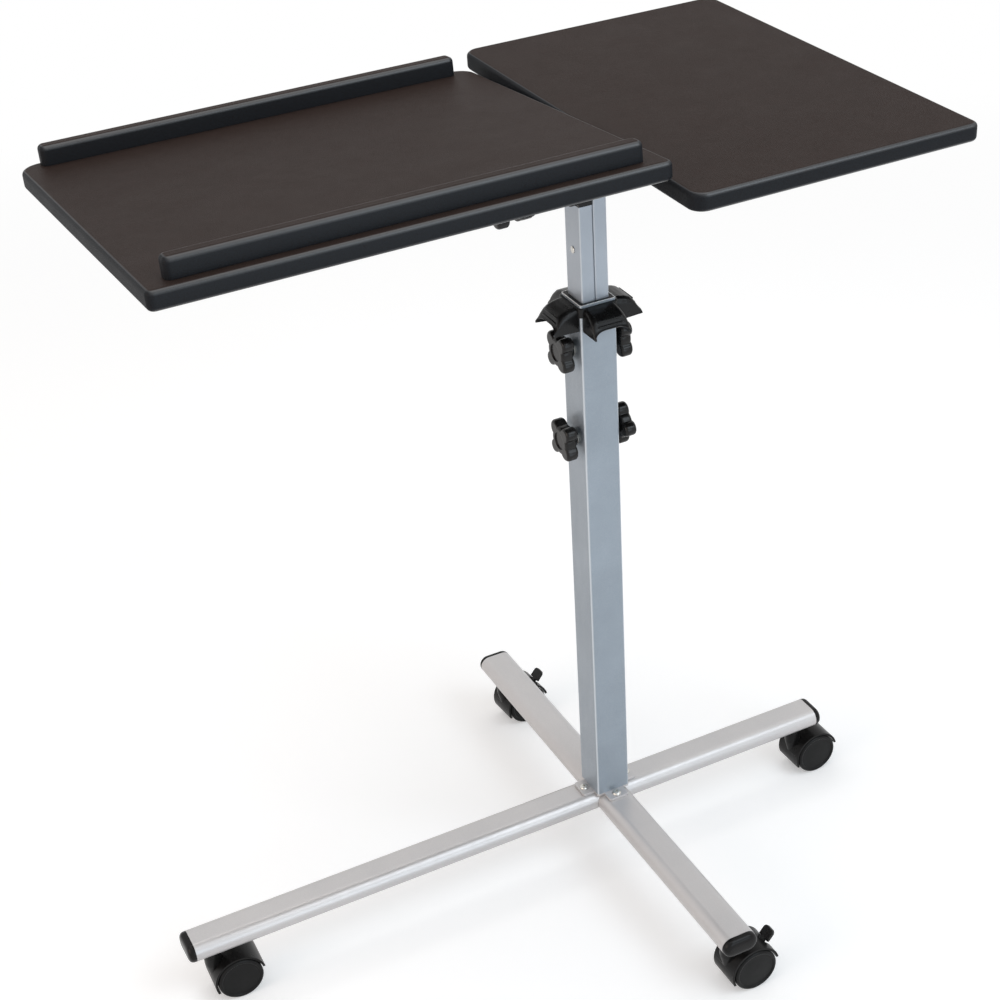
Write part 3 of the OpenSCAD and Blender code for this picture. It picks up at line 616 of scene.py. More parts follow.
@dataclass(frozen=True)
class PebbledVinyl(Finish):
    """Black vinyl laminate: small pebbles, dull flats and glossier edges, with painted shade on
    edges, sides and valleys.

    Attributes:
        edge_shade: Painted shade with a cool cast on the edges and sides: a darker, bluer black,
            linear.
        upright: Share of the edges' gloss coat on upright faces.
        end: Share of the edges' gloss coat on the ends.
        pebble: Size of a pebble in millimetres.
        pebble_depth: Height of the pebbles in millimetres.
        valley_shade: Brightness of the painted shade in the valleys between them, as a share of the
            main colour's.
        wave: Size of the slow waviness in millimetres.
        wave_depth: Depth of the slow waviness in millimetres.
    """

    edge_shade: Colour = (0.0165, 0.0188, 0.0220)
    upright: float = 0.09
    end: float = 0.06
    pebble: float = 1.5
    pebble_depth: float = 0.07
    valley_shade: float = 0.5
    wave: float = 90.0
    wave_depth: float = 0.06

    def tint(self, wiring: Wiring) -> Socket:
        """The colour: patches, painted shade in the valleys between pebbles, and a painted darker,
        bluer black on the edges and sides.

        The object's own normal tells the rounded edges: the size of its Z is 1 on level faces and 0
        on sides, and the size of its X is 1 on the ends. The weight of the coat is joined here too:
        it is full on the edges, times a share on upright faces and a share on the ends.

        Args:
            wiring: The material's wiring.

        Returns:
            The colour.
        """
        level = wiring.sized(wiring.normal, 2)
        flats = wiring.spread(level, low=0.0, high=1.0, start=0.90, end=0.985)
        edges = wiring.spread(flats, low=self.coat, high=0.0, start=0.0, end=1.0)
        sides = wiring.spread(level, low=self.upright, high=1.0, start=0.15, end=0.55)
        across = wiring.sized(wiring.normal, 0)
        ends = wiring.spread(across, low=1.0, high=self.end, start=0.15, end=0.6)
        wiring.join(wiring.times(edges, sides, ends), wiring.shader.inputs["Coat Weight"])
        # Painted shade: every face that is not level, told by its facing, takes a darker, bluer
        # black than the level faces
        base = wiring.blended(flats, self.edge_shade, super().tint(wiring))
        # Painted shade: the borders between pebbles are darkened towards half the main colour
        valleys = wiring.spread(wiring.cells(self.pebble), low=0.5, high=0.0, start=0.0, end=0.12)
        return wiring.blended(valleys, base, tuple(self.valley_shade * part for part in self.colour))

    def surface(self, wiring: Wiring) -> list[tuple[Socket, float]]:
        """The relief: slow waviness, pebbles and a fine grain.

        Args:
            wiring: The material's wiring.

        Returns:
            Each height field and its depth in millimetres.
        """
        pebbles = wiring.spread(wiring.cells(self.pebble), low=0.0, high=1.0, start=0.0, end=0.2)
        waves = wiring.noise(self.wave, detail=1.0)
        grain = wiring.noise(self.relief, detail=3.0)
        return [(waves, self.wave_depth), (pebbles, self.pebble_depth), (grain, self.depth)]


@dataclass(frozen=True)
class MouldedPlastic(Finish):
    """Moulded black plastic: a polish or a fine texture over slight sink waves, with smudges.

    Attributes:
        sink: Size of the sink waves in millimetres.
        sink_depth: Depth of the sink waves in millimetres.
    """

    sink: float = 14.0
    sink_depth: float = 0.03

    def gloss(self, wiring: Wiring) -> Socket:
        """The roughness: smudges that break up into fine ones."""
        return wiring.spread(wiring.noise(self.smudge, detail=8.0), *self.rough)

    def surface(self, wiring: Wiring) -> list[tuple[Socket, float]]:
        """The relief: the sink waves, then fine texture."""
        waves, grain = wiring.noise(self.sink, detail=1.0), wiring.noise(self.relief, detail=2.0)
        return [(waves, self.sink_depth), (grain, self.depth)]


@dataclass(frozen=True)
class PlatedSteel(Finish):
    """Zinc-plated steel: fine turning marks and a faint yellow cast in patches.

    Attributes:
        mark: Size of the turning marks across X in millimetres.
        mark_scale: Factors on the coordinates that make the marks finer along X.
        mark_depth: Depth of the turning marks in millimetres.
    """

    mark: float = 1.6
    mark_scale: tuple[float, float, float] = (8.0, 1.0, 1.0)
    mark_depth: float = 0.006

    def surface(self, wiring: Wiring) -> list[tuple[Socket, float]]:
        """The relief: marks much finer along X than across it, and fine grain."""
        marks = wiring.noise(self.mark, detail=2.0, vector=wiring.stretched(self.mark_scale))
        return [(marks, self.mark_depth), (wiring.noise(self.relief, detail=2.0), self.depth)]


class Finishes(Enum):
    """The stand's finishes."""

    SILVER = SatinPaint(
        "satin_silver", "silver_paint", (0.57, 0.55, 0.545), (0.53, 0.515, 0.515), 70.0,
        (0.33, 0.41), relief=0.5, depth=0.006, metallic=0.45)
    # The column's copy of the silver paint, darker and bluer than the legs': painted shade with a
    # cool cast on its upright faces, plus a painted corner highlight and a bare cut rim
    COLUMN_SHADED = SatinPaint(
        "satin_silver_column_shaded", "silver_paint", (0.300, 0.350, 0.404), (0.255, 0.300, 0.348), 55.0,
        (0.30, 0.42), relief=0.5, depth=0.006, metallic=0.35, bare_over=700.7, corners=0.75)
    # The posts' copy of the silver paint, darker and bluer than the legs': painted shade with a
    # cool cast, plus a painted corner highlight
    POST_SHADED = SatinPaint(
        "satin_silver_post_shaded", "silver_paint", (0.415, 0.466, 0.528), (0.365, 0.409, 0.465), 55.0,
        (0.30, 0.40), relief=0.5, depth=0.004, metallic=0.35, corners=0.6)
    BLACK_PAINT = Finish(
        "black_powder_coat", "black_paint", (0.012, 0.012, 0.013), (0.016, 0.016, 0.017), 30.0,
        (0.42, 0.55), relief=0.8, depth=0.02, specular=0.25)
    BOARD = PebbledVinyl(
        "pebbled_vinyl", "board_wood", (0.0270, 0.0185, 0.0160), (0.0310, 0.0212, 0.0186), 14.0,
        (0.46, 0.50), smudge=40.0, relief=0.5, depth=0.012, coat=1.0, coat_rough=0.34,
        specular=0.035)
    CAP = MouldedPlastic(
        "cap_black", "gloss_black", (0.006, 0.0055, 0.0055), (0.009, 0.0085, 0.0085), 20.0,
        (0.20, 0.28), smudge=12.0, relief=0.8, depth=0.002, specular=0.16)
    GLOSSY = MouldedPlastic(
        "polished_black", "gloss_black", (0.006, 0.0056, 0.0054), (0.009, 0.0084, 0.0082), 20.0,
        (0.18, 0.28), smudge=12.0, relief=0.8, depth=0.002, specular=0.26)
    MOULDED = MouldedPlastic(
        "moulded_black", "matte_black", (0.006, 0.006, 0.0062), (0.009, 0.009, 0.0093), 18.0,
        (0.24, 0.34), smudge=10.0, relief=0.45, depth=0.006, specular=0.24)
    HOOD = MouldedPlastic(
        "hood_black", "matte_black", (0.006, 0.0058, 0.0057), (0.009, 0.0087, 0.0085), 18.0,
        (0.26, 0.36), smudge=10.0, relief=0.45, depth=0.006, specular=0.13)
    TREAD = MouldedPlastic(
        "wheel_plastic", "tread_black", (0.006, 0.006, 0.006), (0.009, 0.009, 0.009), 10.0,
        (0.30, 0.42), smudge=8.0, relief=0.6, depth=0.006, specular=0.15)
    PLATED = PlatedSteel(
        "zinc_plated", "zinc_steel", (0.62, 0.61, 0.58), (0.55, 0.54, 0.50), 8.0,
        (0.24, 0.36), relief=0.4, depth=0.003, metallic=1.0)


@dataclass(frozen=True)
class Bench:
    """Makes finished pieces: meshes them, dresses them and seats them on their bodies.

    Attributes:
        column_x: The column's axis along X in the frame, in millimetres.
        merged: Distance in metres under which doubled points become one.
        flat: Angle in degrees under which neighbouring faces of a copied node become one.
        crease: Angle in degrees from which an edge of a copied node is eased or stays sharp.
    """

    column_x: float
    merged: float = 1e-6
    flat: float = 0.6
    crease: float = 32.0

    def at_column(self, local: Matrix | None = None) -> Matrix:
        """A placing matrix moved from the column's axis to the frame."""
        return Matrix.Translation((self.column_x, 0.0, 0.0)) @ (local or Matrix.Identity(4))

    def piece(self, name: str, skin: Skin, finish: Finishes, stands_for: Sequence[str],
              placed: Matrix | None = None, sharp: float = 38.0) -> bpy.types.Object:
        """Makes a piece from a skin about the column's axis and lets it stand for CAD nodes.

        Args:
            name: Name of the piece.
            skin: Its points and faces in millimetres.
            finish: Its finish.
            stands_for: The CAD nodes that it replaces, the first of which gives its body.
            placed: Where the skin's own axes lie, about the column's axis.
            sharp: Angle in degrees from which an edge stays sharp.

        Returns:
            The piece.
        """
        moved = skin.moved(self.at_column(placed))
        mesh = bpy.data.meshes.new(name)
        mesh.from_pydata((moved.points * MM).tolist(), [], moved.faces)
        made = bpy.data.objects.new(name, mesh)
        bpy.context.scene.collection.objects.link(made)
        self.tidy(mesh, recalculated=True)
        return self.seated(made, finish, stands_for, sharp)

    def traced(self, node: str, finish: Finishes, bevel: float) -> bpy.types.Object:
        """Makes a piece from a copy of a CAD node, merged, with eased edges.

        Args:
            node: The CAD node, after which the piece is named.
            finish: The piece's finish.
            bevel: Width of the eased edges in millimetres, 0 for none.

        Returns:
            The piece.
        """
        mesh = frame["nodes"][node].data.copy()
        mesh.materials.clear()
        made = bpy.data.objects.new(f"{node}_finished", mesh)
        bpy.context.scene.collection.objects.link(made)
        self.tidy(mesh, recalculated=False, flat=self.flat)
        if bevel:
            self.eased(made, bevel, self.crease, segments=2)
        return self.seated(made, finish, [node], self.crease)

    def tidy(self, mesh: bpy.types.Mesh, recalculated: bool, flat: float = 0.0) -> None:
        """Merges doubled points and dissolves the triangles of flat faces.

        Args:
            mesh: The mesh.
            recalculated: Whether the faces are turned outwards.
            flat: Angle in degrees under which neighbouring faces become one, 0 for none.
        """
        work = bmesh.new()
        work.from_mesh(mesh)
        bmesh.ops.remove_doubles(work, verts=work.verts, dist=self.merged)
        if flat:
            bmesh.ops.dissolve_limit(work, angle_limit=math.radians(flat), verts=work.verts,
                                     edges=work.edges)
        if recalculated:
            bmesh.ops.recalc_face_normals(work, faces=work.faces)
        work.to_mesh(mesh)
        work.free()

    @staticmethod
    def eased(made: bpy.types.Object, width: float, angle: float, segments: int) -> None:
        """Rounds a piece's edges with a bevel.

        Args:
            made: The piece's object.
            width: Width of the bevel in millimetres.
            angle: Angle in degrees from which an edge is rounded.
            segments: Number of faces across the bevel.
        """
        ease = made.modifiers.new("eased_edges", "BEVEL")
        ease.width, ease.segments = width * MM, segments
        ease.limit_method, ease.angle_limit = "ANGLE", math.radians(angle)
        ease.use_clamp_overlap, ease.harden_normals = True, True

    def seated(self, made: bpy.types.Object, finish: Finishes, stands_for: Sequence[str],
               sharp: float) -> bpy.types.Object:
        """Shades, dresses and seats a piece.

        Args:
            made: The piece's object.
            finish: Its finish.
            stands_for: The CAD nodes that it replaces.
            sharp: Angle in degrees from which an edge stays sharp.

        Returns:
            The piece.
        """
        faces = made.data.polygons
        faces.foreach_set("use_smooth", np.ones(len(faces), bool))
        made.data.set_sharp_from_angle(angle=math.radians(sharp))
        made.data.materials.append(finish.value.material())
        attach(made, frame["nodes"][stands_for[0]]["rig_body"])
        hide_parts(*stands_for)
        log.info("piece %s: %d faces, for %s", made.name, len(made.data.polygons),
                 ", ".join(stands_for))
        return made


@dataclass(frozen=True)
class Base:
    """The cross of flat-oval legs, their end caps and the foot of the column.

    Attributes:
        width: Width of a leg.
        height: Height of a leg.
        wall: Wall of a leg.
        axis_z: Height of the legs' axis over the floor.
        left: Column axis to the left tube end.
        right: Column axis to the right tube end.
        side: Column axis to the front and the back tube end.
        cope: Length over which a tube's outer side takes up its coped end.
        plug: How far a cap reaches into its tube.
        dome: How far a cap stands out.
        ease: Easing of the edge where a cap meets its tube.
        ridge: Half of what is left of a cap's height at its outermost line.
        fullness: Power that fills out a cap's rounding; 1 is a plain ellipse.
    """

    width: float = 40.0
    height: float = 22.0
    wall: float = 1.5
    axis_z: float = 77.0
    left: float = 498.0
    right: float = 275.0
    side: float = 280.0
    cope: float = 30.0
    plug: float = 8.0
    dome: float = 8.0
    ease: float = 0.25
    ridge: float = 0.01
    fullness: float = 0.62

    def oval(self) -> Outline:
        """The flat oval across a leg: two half circles joined by straight lines."""
        half, tall = self.width / 2, self.height / 2
        return Outline.box((-half, -tall), (half, tall), [tall] * 4, steps=14)

    def along(self, angle: float) -> Matrix:
        """A leg's placing: its width level, its height up and its length in a level direction.

        Args:
            angle: The direction in degrees from +X.

        Returns:
            The placing matrix about the column's axis.
        """
        turn = math.radians(angle)
        across = (-math.sin(turn), math.cos(turn), 0)
        ahead = (math.cos(turn), math.sin(turn), 0)
        return place(across, (0, 0, 1), ahead, at=(0, 0, self.axis_z))

    def tube(self, start: float, end: float, coped: bool) -> Skin:
        """A leg tube as a closed loop of outer and inner wall.

        A coped end follows the long leg's round side: the straight part of its oval plus the root
        of the radius squared less the height squared.

        Args:
            start: Distance of the tube's start.
            end: Distance of its end.
            coped: Whether the start is cut to the long leg's round side.

        Returns:
            The tube's skin along its own axis.
        """
        rows = self.oval().swept(lines([[0, start], [0, start + self.cope], [0, end],
                                        [self.wall, end], [self.wall, start]]))
        if coped:
            tall = self.height / 2
            root = np.sqrt(np.maximum(tall**2 - rows[..., 1] ** 2, 0.0))
            cut = (self.width / 2 - tall) + root
            rows[..., 2] = np.where(rows[..., 2] <= start, cut, rows[..., 2])
        return Skin.woven(rows, loop=True)

    def cap(self) -> Skin:
        """A cap: a plug in the tube's end, and a full dome that closes on the oval's middle line.

        The dome's insets and heights lie on a quarter superellipse: the sine and the cosine of an
        ellipse are taken to a power below one, which fills out its corner.

        Returns:
            The cap's skin along its leg's axis, with the tube's end at 0.
        """
        steps, tall = 18, self.height / 2
        turn = np.radians(np.linspace(0, 90, steps + 1))
        dome = np.stack([tall * (1 - np.cos(turn) ** self.fullness),
                         self.dome * np.sin(turn) ** self.fullness], axis=1)
        dome[-1, 0] = tall - self.ridge
        plug = [[self.wall, -self.plug], [self.wall, 0.0], [self.ease, 0.0], [0.0, self.ease]]
        return Skin.woven(self.oval().swept(lines(plug, dome[1:])), lids=True)

    def build(self, bench: Bench) -> None:
        """Makes the legs and caps, and dresses the foot, the sockets and the stems.

        Args:
            bench: What the pieces are made with.
        """
        long_tube = self.tube(-self.left, self.right, coped=False)
        bench.piece("long_leg_tube", long_tube, Finishes.SILVER, ["long_leg"], self.along(0))
        side_tube = self.tube(self.width / 2, self.side, coped=True)
        for name, angle in (("front", -90), ("back", 90)):
            bench.piece(f"{name}_leg_tube", side_tube, Finishes.SILVER, [f"{name}_leg"],
                        self.along(angle))
        ends = {"left": (180, self.left), "right": (0, self.right),
                "front": (-90, self.side), "back": (90, self.side)}
        for name, (angle, reach) in ends.items():
            placed = self.along(angle) @ Matrix.Translation((0, 0, reach))
            bench.piece(f"{name}_cap", self.cap(), Finishes.CAP, [f"{name}_end_cap"], placed)
        bench.traced("foot_plate", Finishes.SILVER, bevel=0.4)
        bench.traced("foot_screws", Finishes.PLATED, bevel=0.0)
        bench.traced("stem_sockets", Finishes.MOULDED, bevel=0.3)
        bench.traced("caster_stems", Finishes.PLATED, bevel=0.3)


@dataclass(frozen=True)
class Column:
    """The square column tube, its guides and its rivet nuts.

    Attributes:
        width: Outer width.
        wall: Wall.
        corner: Outer corner radius.
        foot_z: Height of its foot.
        rim_z: Height of its rim.
        ease: Easing of the rim's edges.
    """

    width: float = 40.0
    wall: float = 1.5
    corner: float = 3.0
    foot_z: float = 91.0
    rim_z: float = 701.0
    ease: float = 0.3

    def square(self) -> Outline:
        """The tube's outer outline."""
        half = self.width / 2
        return Outline.box((-half, -half), (half, half), [self.corner] * 4, steps=8)

    def tube(self) -> Skin:
        """The tube as a closed loop of its outer wall, a slightly eased rim and its inner wall.

        Returns:
            The tube's skin about its own axis.
        """
        outer = [[0, self.foot_z], [0, self.rim_z - self.ease], [self.ease, self.rim_z]]
        inner = [[self.wall - self.ease, self.rim_z], [self.wall, self.rim_z - self.ease],
                 [self.wall, self.foot_z]]
        return Skin.woven(self.square().swept(lines(outer, inner)), loop=True)

    def build(self, bench: Bench) -> None:
        """Makes the tube, and dresses the guides and the rivet nuts.

        Args:
            bench: What the pieces are made with.
        """
        bench.piece("column_profile", self.tube(), Finishes.COLUMN_SHADED, ["column_tube"], sharp=30.0)
        bench.traced("top_guide", Finishes.MOULDED, bevel=0.3)
        bench.traced("lower_guide", Finishes.MOULDED, bevel=0.3)
        bench.traced("rivet_nuts", Finishes.PLATED, bevel=0.2)


@dataclass(frozen=True)
class Collar:
    """The moulded collar round the column's top: a band and four flared arms with arched lips.

    Attributes:
        half: Half of the column's width, and of an arm's width at its lip.
        root_half: Half of an arm's width at its root.
        flat: Half of the width of an arm's flat top, between its round shoulders.
        lip_flat: The same at the lip.
        fall: Height of a shoulder at the root and at the lip.
        top_z: Height of the collar's top.
        band: Depth of the band.
        thick: Thickness of the band.
        fit: What the band stands off the column at its foot and at its top.
        corner: Corner radius of the column.
        wall: Wall of an arm.
        pull: How much further than the arch the feet of a lip stand out.
        lip_from: Share of an arm's line where its top starts to narrow to the lip.
        root_drop: Drop from the top to a cheek's lower edge at the root.
        foot_drop: The same at the lip's feet.
        bead: Radius of a bead across an arm.
        band_edge: Rounding of the band's edges.
        arm_edge: Rounding of the arms' edges.
        line: An arm's top line: distances from the column's axis and drops from the collar's top.
        fine: Number of fine steps along that line.
        window: Number of fine points in the moving average that smooths it.
        beads: Drops of the two beads.
    """

    half: float = 20.0
    root_half: float = 18.0
    flat: float = 13.0
    lip_flat: float = 6.5
    fall: tuple[float, float] = (7.5, 7.8)
    top_z: float = 698.5
    band: float = 10.0
    thick: float = 2.0
    fit: tuple[float, float] = (0.05, 0.1)
    corner: float = 3.0
    wall: float = 1.8
    pull: float = 3.0
    lip_from: float = 0.5
    root_drop: float = 25.0
    foot_drop: float = 22.6
    bead: float = 1.1
    band_edge: float = 0.6
    arm_edge: float = 0.35
    line: tuple[tuple[float, float], ...] = (
        (20.6, 0.2), (27.0, 0.8), (33.0, 2.1), (37.8, 4.0), (40.8, 6.3), (42.3, 8.8), (43.3, 11.4),
        (44.1, 12.8), (45.0, 13.9), (46.0, 14.9))
    fine: int = 200
    window: int = 15
    beads: tuple[float, float] = (7.3, 12.1)

    def top_line(self, count: int) -> np.ndarray:
        """An arm's top line at even steps, smoothed by a moving average so that it bends softly.

        Past both ends the line goes on as its mirror image through the end point, which keeps the
        ends in place.

        Args:
            count: Number of steps.

        Returns:
            Rows of distance and drop.
        """
        corners = np.array(self.line)
        step = np.concatenate([[0.0], np.cumsum(np.linalg.norm(np.diff(corners, axis=0), axis=1))])
        even = np.linspace(0, step[-1], self.fine + 1)
        dense = np.stack([np.interp(even, step, corners[:, k]) for k in (0, 1)], axis=1)
        weights = np.hanning(self.window)
        kernel = weights[1:-1] / weights.sum()
        reach = len(kernel) // 2
        padded = np.concatenate([2 * dense[:1] - dense[reach:0:-1], dense,
                                 2 * dense[-1:] - dense[-2:-2 - reach:-1]])
        smooth = np.stack([np.convolve(padded[:, k], kernel, "valid") for k in (0, 1)], axis=1)
        wanted, known = np.linspace(0, self.fine, count + 1), np.arange(self.fine + 1)
        return np.stack([np.interp(wanted, known, smooth[:, k]) for k in (0, 1)], axis=1)

    def arm(self) -> Skin:
        """One arm along +X, as an open sheet that gets its wall later.

        Across, the sheet goes up a cheek, round a quarter ellipse, over the flat top and down the
        same way. A point lies under the top line by the ellipse's height times one less the cosine
        of its turn. Towards the lip it is also pulled outwards by the square of its sine, so that
        the lip's feet stand out further than its arch.

        Returns:
            The sheet's skin about the column's axis.
        """
        along, quarter, over, cheek = 48, 8, 24, 2
        line = self.top_line(along)
        share = np.linspace(0, 1, along + 1)[:, None]
        late = np.clip((share - self.lip_from) / (1 - self.lip_from), 0, 1)
        late = late**2 * (3 - 2 * late)
        flat = self.flat + (self.lip_flat - self.flat) * late
        wide = self.root_half + (self.half - self.root_half) * share - flat
        fall = self.fall[0] + (self.fall[1] - self.fall[0]) * share
        ends = np.linspace(0, math.pi / 2, quarter + 1)
        middle = np.linspace(-1, 1, over + 1)[1:-1]
        turn = np.concatenate([ends[::-1], np.zeros(over - 1), ends])
        side = np.concatenate([-np.ones(quarter + 1), middle, np.ones(quarter + 1)])
        x = line[:, :1] + self.pull * np.sin(turn)**2 * late
        y = flat * side + np.sign(side) * wide * np.sin(turn)
        sheet = np.stack([x, y, -line[:, 1:] - fall * (1 - np.cos(turn))], axis=2)
        shoulders = sheet[:, [0, -1]]
        lower = shoulders.copy()
        lower[..., 2] = np.interp(lower[..., 0], [self.half, x.max()],
                                  [-self.root_drop, -self.foot_drop])
        fade = np.linspace(0, 1, cheek + 1)[:-1, None, None, None]
        cheeks = lower + fade * (shoulders - lower)
        up, down = cheeks[:, :, 0].transpose(1, 0, 2), cheeks[::-1, :, 1].transpose(1, 0, 2)
        return Skin.woven(np.concatenate([up, sheet, down], axis=1), around=False)

    def rib(self, drop: float) -> Skin:
        """A bead across an arm: a round bar with domed ends, half sunk in the arm.

        Args:
            drop: Its drop from the collar's top.

        Returns:
            The bead's skin along its own axis, moved to its place.
        """
        sides, quarter, along = 16, 6, 120
        half, bead = self.flat + self.bead / 2, self.bead
        bar = Skin.woven(turned(lines(arc(0, bead - half, bead, -90, 0, quarter),
                                      arc(0, half - bead, bead, 0, 90, quarter)), sides))
        line = self.top_line(along)
        x = float(np.interp(drop, line[:, 1], line[:, 0]))
        return bar.moved(place((1, 0, 0), (0, 0, -1), (0, 1, 0), at=(x, 0, -drop)))

    def ring(self) -> Skin:
        """The band: a closed loop of a section with a rounded top edge, close to the column inside.

        Returns:
            The band's skin about the column's axis.
        """
        half, ease = self.half + self.thick, self.band_edge
        outline = Outline.box((-half, -half), (half, half), [self.corner + self.thick] * 4, steps=8)
        foot_inset, top_inset = (self.thick - fit for fit in self.fit)
        section = lines([[foot_inset, -self.band], [ease, -self.band], [0, ease - self.band]],
                        [[0, -ease]], arc(ease, -ease, ease, 180, 90, 3), [[top_inset, 0]])
        return Skin.woven(outline.swept(section), loop=True)

    def build(self, bench: Bench) -> None:
        """Makes the arms with their wall, and the band with the beads.

        Args:
            bench: What the pieces are made with.
        """
        arm, bars = self.arm(), [self.rib(drop) for drop in self.beads]
        lift = Matrix.Translation((0, 0, self.top_z))
        turns = [Matrix.Rotation(math.radians(angle), 4, "Z") for angle in (0, 90, 180, 270)]
        sheets = arm.moved(turns[0]).with_others(*[arm.moved(turn) for turn in turns[1:]])
        arms = bench.piece("collar_arms", sheets, Finishes.MOULDED, ["collar"], lift, sharp=60.0)
        inwards = -1.0
        shell = arms.modifiers.new("arm_wall", "SOLIDIFY")
        shell.thickness, shell.offset = self.wall * MM, inwards
        bench.eased(arms, self.arm_edge, angle=50.0, segments=3)
        ledges = [bar.moved(turn) for turn in turns for bar in bars]
        bench.piece("collar_band", self.ring().with_others(*ledges), Finishes.MOULDED, ["collar"],
                    lift, sharp=40.0)


@dataclass(frozen=True)
class LobedKnob:
    """A lobed clamping knob with a hub.

    Attributes:
        radius: Radius over the lobes.
        lobe: Radius of a lobe.
        lobes: Number of lobes.
        waist: How much smaller the core is than the circle of the lobes' centres.
        blend: Softness of the corners between lobes and core.
        head: Thickness of the head.
        rounding: Rounding of the head's rim.
        hub_radius: Radius of the hub, and of the round recess in the face.
        foot: Easing of the hub's foot, inwards and upwards.
        neck: Flare of the hub under the head, outwards and downwards.
        sunk: Depth of the recess.
        brim: How far out from the recess the face has its last ring of points.
        lip: Rounding of the recess's edge.
        lip_out: How far out from the recess that rounding starts.
        fillet: Easing of the recess's floor.
    """

    radius: float = 23.0
    lobe: float = 7.2
    lobes: int = 4
    waist: float = 0.35
    blend: float = 1.1
    head: float = 13.0
    rounding: float = 3.4
    hub_radius: float = 9.0
    foot: tuple[float, float] = (0.6, 0.5)
    neck: tuple[float, float] = (0.5, 0.4)
    sunk: float = 1.2
    brim: float = 1.4
    lip: float = 0.45
    lip_out: float = 0.5
    fillet: float = 0.2

    def outline(self) -> Outline:
        """The head's outline: a soft maximum of the core circle and of the lobes' circles.

        A lobe's radius in a direction is the distance of its centre times the cosine of the angle
        to it, plus the root of its own radius squared less the square of that distance times the
        sine. The soft maximum is the logarithm of the sum of exponentials, scaled by the blend.

        Returns:
            The outline.
        """
        count = 160
        angle = np.arange(count) * 2 * math.pi / count
        period = 2 * math.pi / self.lobes
        off = (angle - period / 2 + math.pi * 2) % period
        off = np.minimum(off, period - off)
        centre = self.radius - self.lobe
        inner = self.lobe**2 - (centre * np.sin(off)) ** 2
        reach = centre * np.cos(off) + np.sqrt(np.maximum(inner, 0))
        lobe = np.where(inner > 0, reach, 0.0)
        core = centre - self.waist
        radii = self.blend * np.logaddexp(lobe / self.blend, core / self.blend)
        return Outline.round(np.minimum(radii, self.radius))

    def skin(self, hub: float) -> Skin:
        """The knob along its own axis, from its hub's foot to its face.

        Args:
            hub: Length of the hub.

        Returns:
            One skin up the hub, out over the rounded head and in over its shallow round recess.
        """
        total, r, bore = hub + self.head, self.rounding, self.hub_radius
        outline = self.outline()
        count = len(outline.radii)
        (foot_in, foot_up), (neck_out, neck_down) = self.foot, self.neck
        stem = turned(lines([[0.0, 0.0], [bore - foot_in, 0.0], [bore, foot_up],
                             [bore, hub - neck_down], [bore + neck_out, hub]]), count)
        head = outline.swept(lines([[r + FLAT_LINE, hub]], arc(r, hub + r, r, 270, 180, 6),
                                   arc(r, total - r, r, 180, 90, 6), [[r + FLAT_LINE / 2, total]]))
        floor = total - self.sunk
        edge = arc(bore + self.lip_out, total - self.lip, self.lip, 90, 180, 4)
        face = turned(lines([[bore + self.brim, total]], edge, [[bore, floor + self.fillet]],
                            [[bore - self.fillet, floor], [0.0, floor]]), count)
        return Skin.woven(np.concatenate([stem, head, face]))


@dataclass(frozen=True)
class Clamps:
    """The four clamp knobs on the column and their studs.

    Attributes:
        upper_z: Height of the upper knobs.
        lower_z: Height of the lower knobs.
        lower_turn: Angle by which the right lower knob's lobes are turned, in degrees.
        hub_x: Column axis to a hub's foot.
        hub: Length of a hub.
        knob: The knob's form.
    """

    upper_z: float = 648.0
    lower_z: float = 548.0
    lower_turn: float = 45.0
    hub_x: float = 22.0
    hub: float = 4.0
    knob: LobedKnob = field(default_factory=LobedKnob)

    def build(self, bench: Bench) -> None:
        """Makes each knob and dresses its stud.

        Args:
            bench: What the pieces are made with.
        """
        for side, sign in (("left", -1), ("right", 1)):
            for level, z in (("upper", self.upper_z), ("lower", self.lower_z)):
                at = (sign * self.hub_x, 0, z)
                placed = place((0, sign, 0), (0, 0, 1), (sign, 0, 0), at=at)
                turn = self.lower_turn if (side, level) == ("right", "lower") else 0.0
                placed = placed @ Matrix.Rotation(math.radians(turn), 4, "Z")
                bench.piece(f"clamp_knob_{side}_{level}", self.knob.skin(self.hub),
                            Finishes.GLOSSY, [f"knob_{side}_{level}"], placed)
                bench.traced(f"stud_{side}_{level}", Finishes.PLATED, bevel=0.0)


@dataclass(frozen=True)
class Board:
    """A board with rounded edges and its own radius at each corner.

    Attributes:
        low: Its low corner in plan.
        high: Its high corner in plan.
        under: Height of its underside.
        thick: Its thickness.
        corners: Corner radii from the low corner anticlockwise.
        edge: Rounding of its top and bottom edges.
        foot_edge: Rounding of its bottom edges, if that differs.
    """

    low: tuple[float, float]
    high: tuple[float, float]
    under: float
    thick: float
    corners: tuple[float, float, float, float]
    edge: float
    foot_edge: float | None = None

    def skin(self) -> Skin:
        """The board's skin: its outline carried round a section with two quarter rounds.

        Each flat face has a line of points a little inside its edge, so that it is shaded flat.

        Returns:
            The skin in the board's own frame.
        """
        top, foot = self.edge, self.edge if self.foot_edge is None else self.foot_edge
        low, high, smallest = self.under, self.under + self.thick, min(self.corners)
        outline = Outline.box(self.low, self.high, self.corners, steps=12)
        inner_top, inner_foot = min(top + FLAT_LINE, smallest), min(foot + FLAT_LINE, smallest)
        section = lines([[inner_foot, low]], arc(foot, low + foot, foot, 270, 180, 8),
                        arc(top, high - top, top, 180, 90, 8), [[inner_top, high]])
        return Skin.woven(outline.swept(section), lids=True)


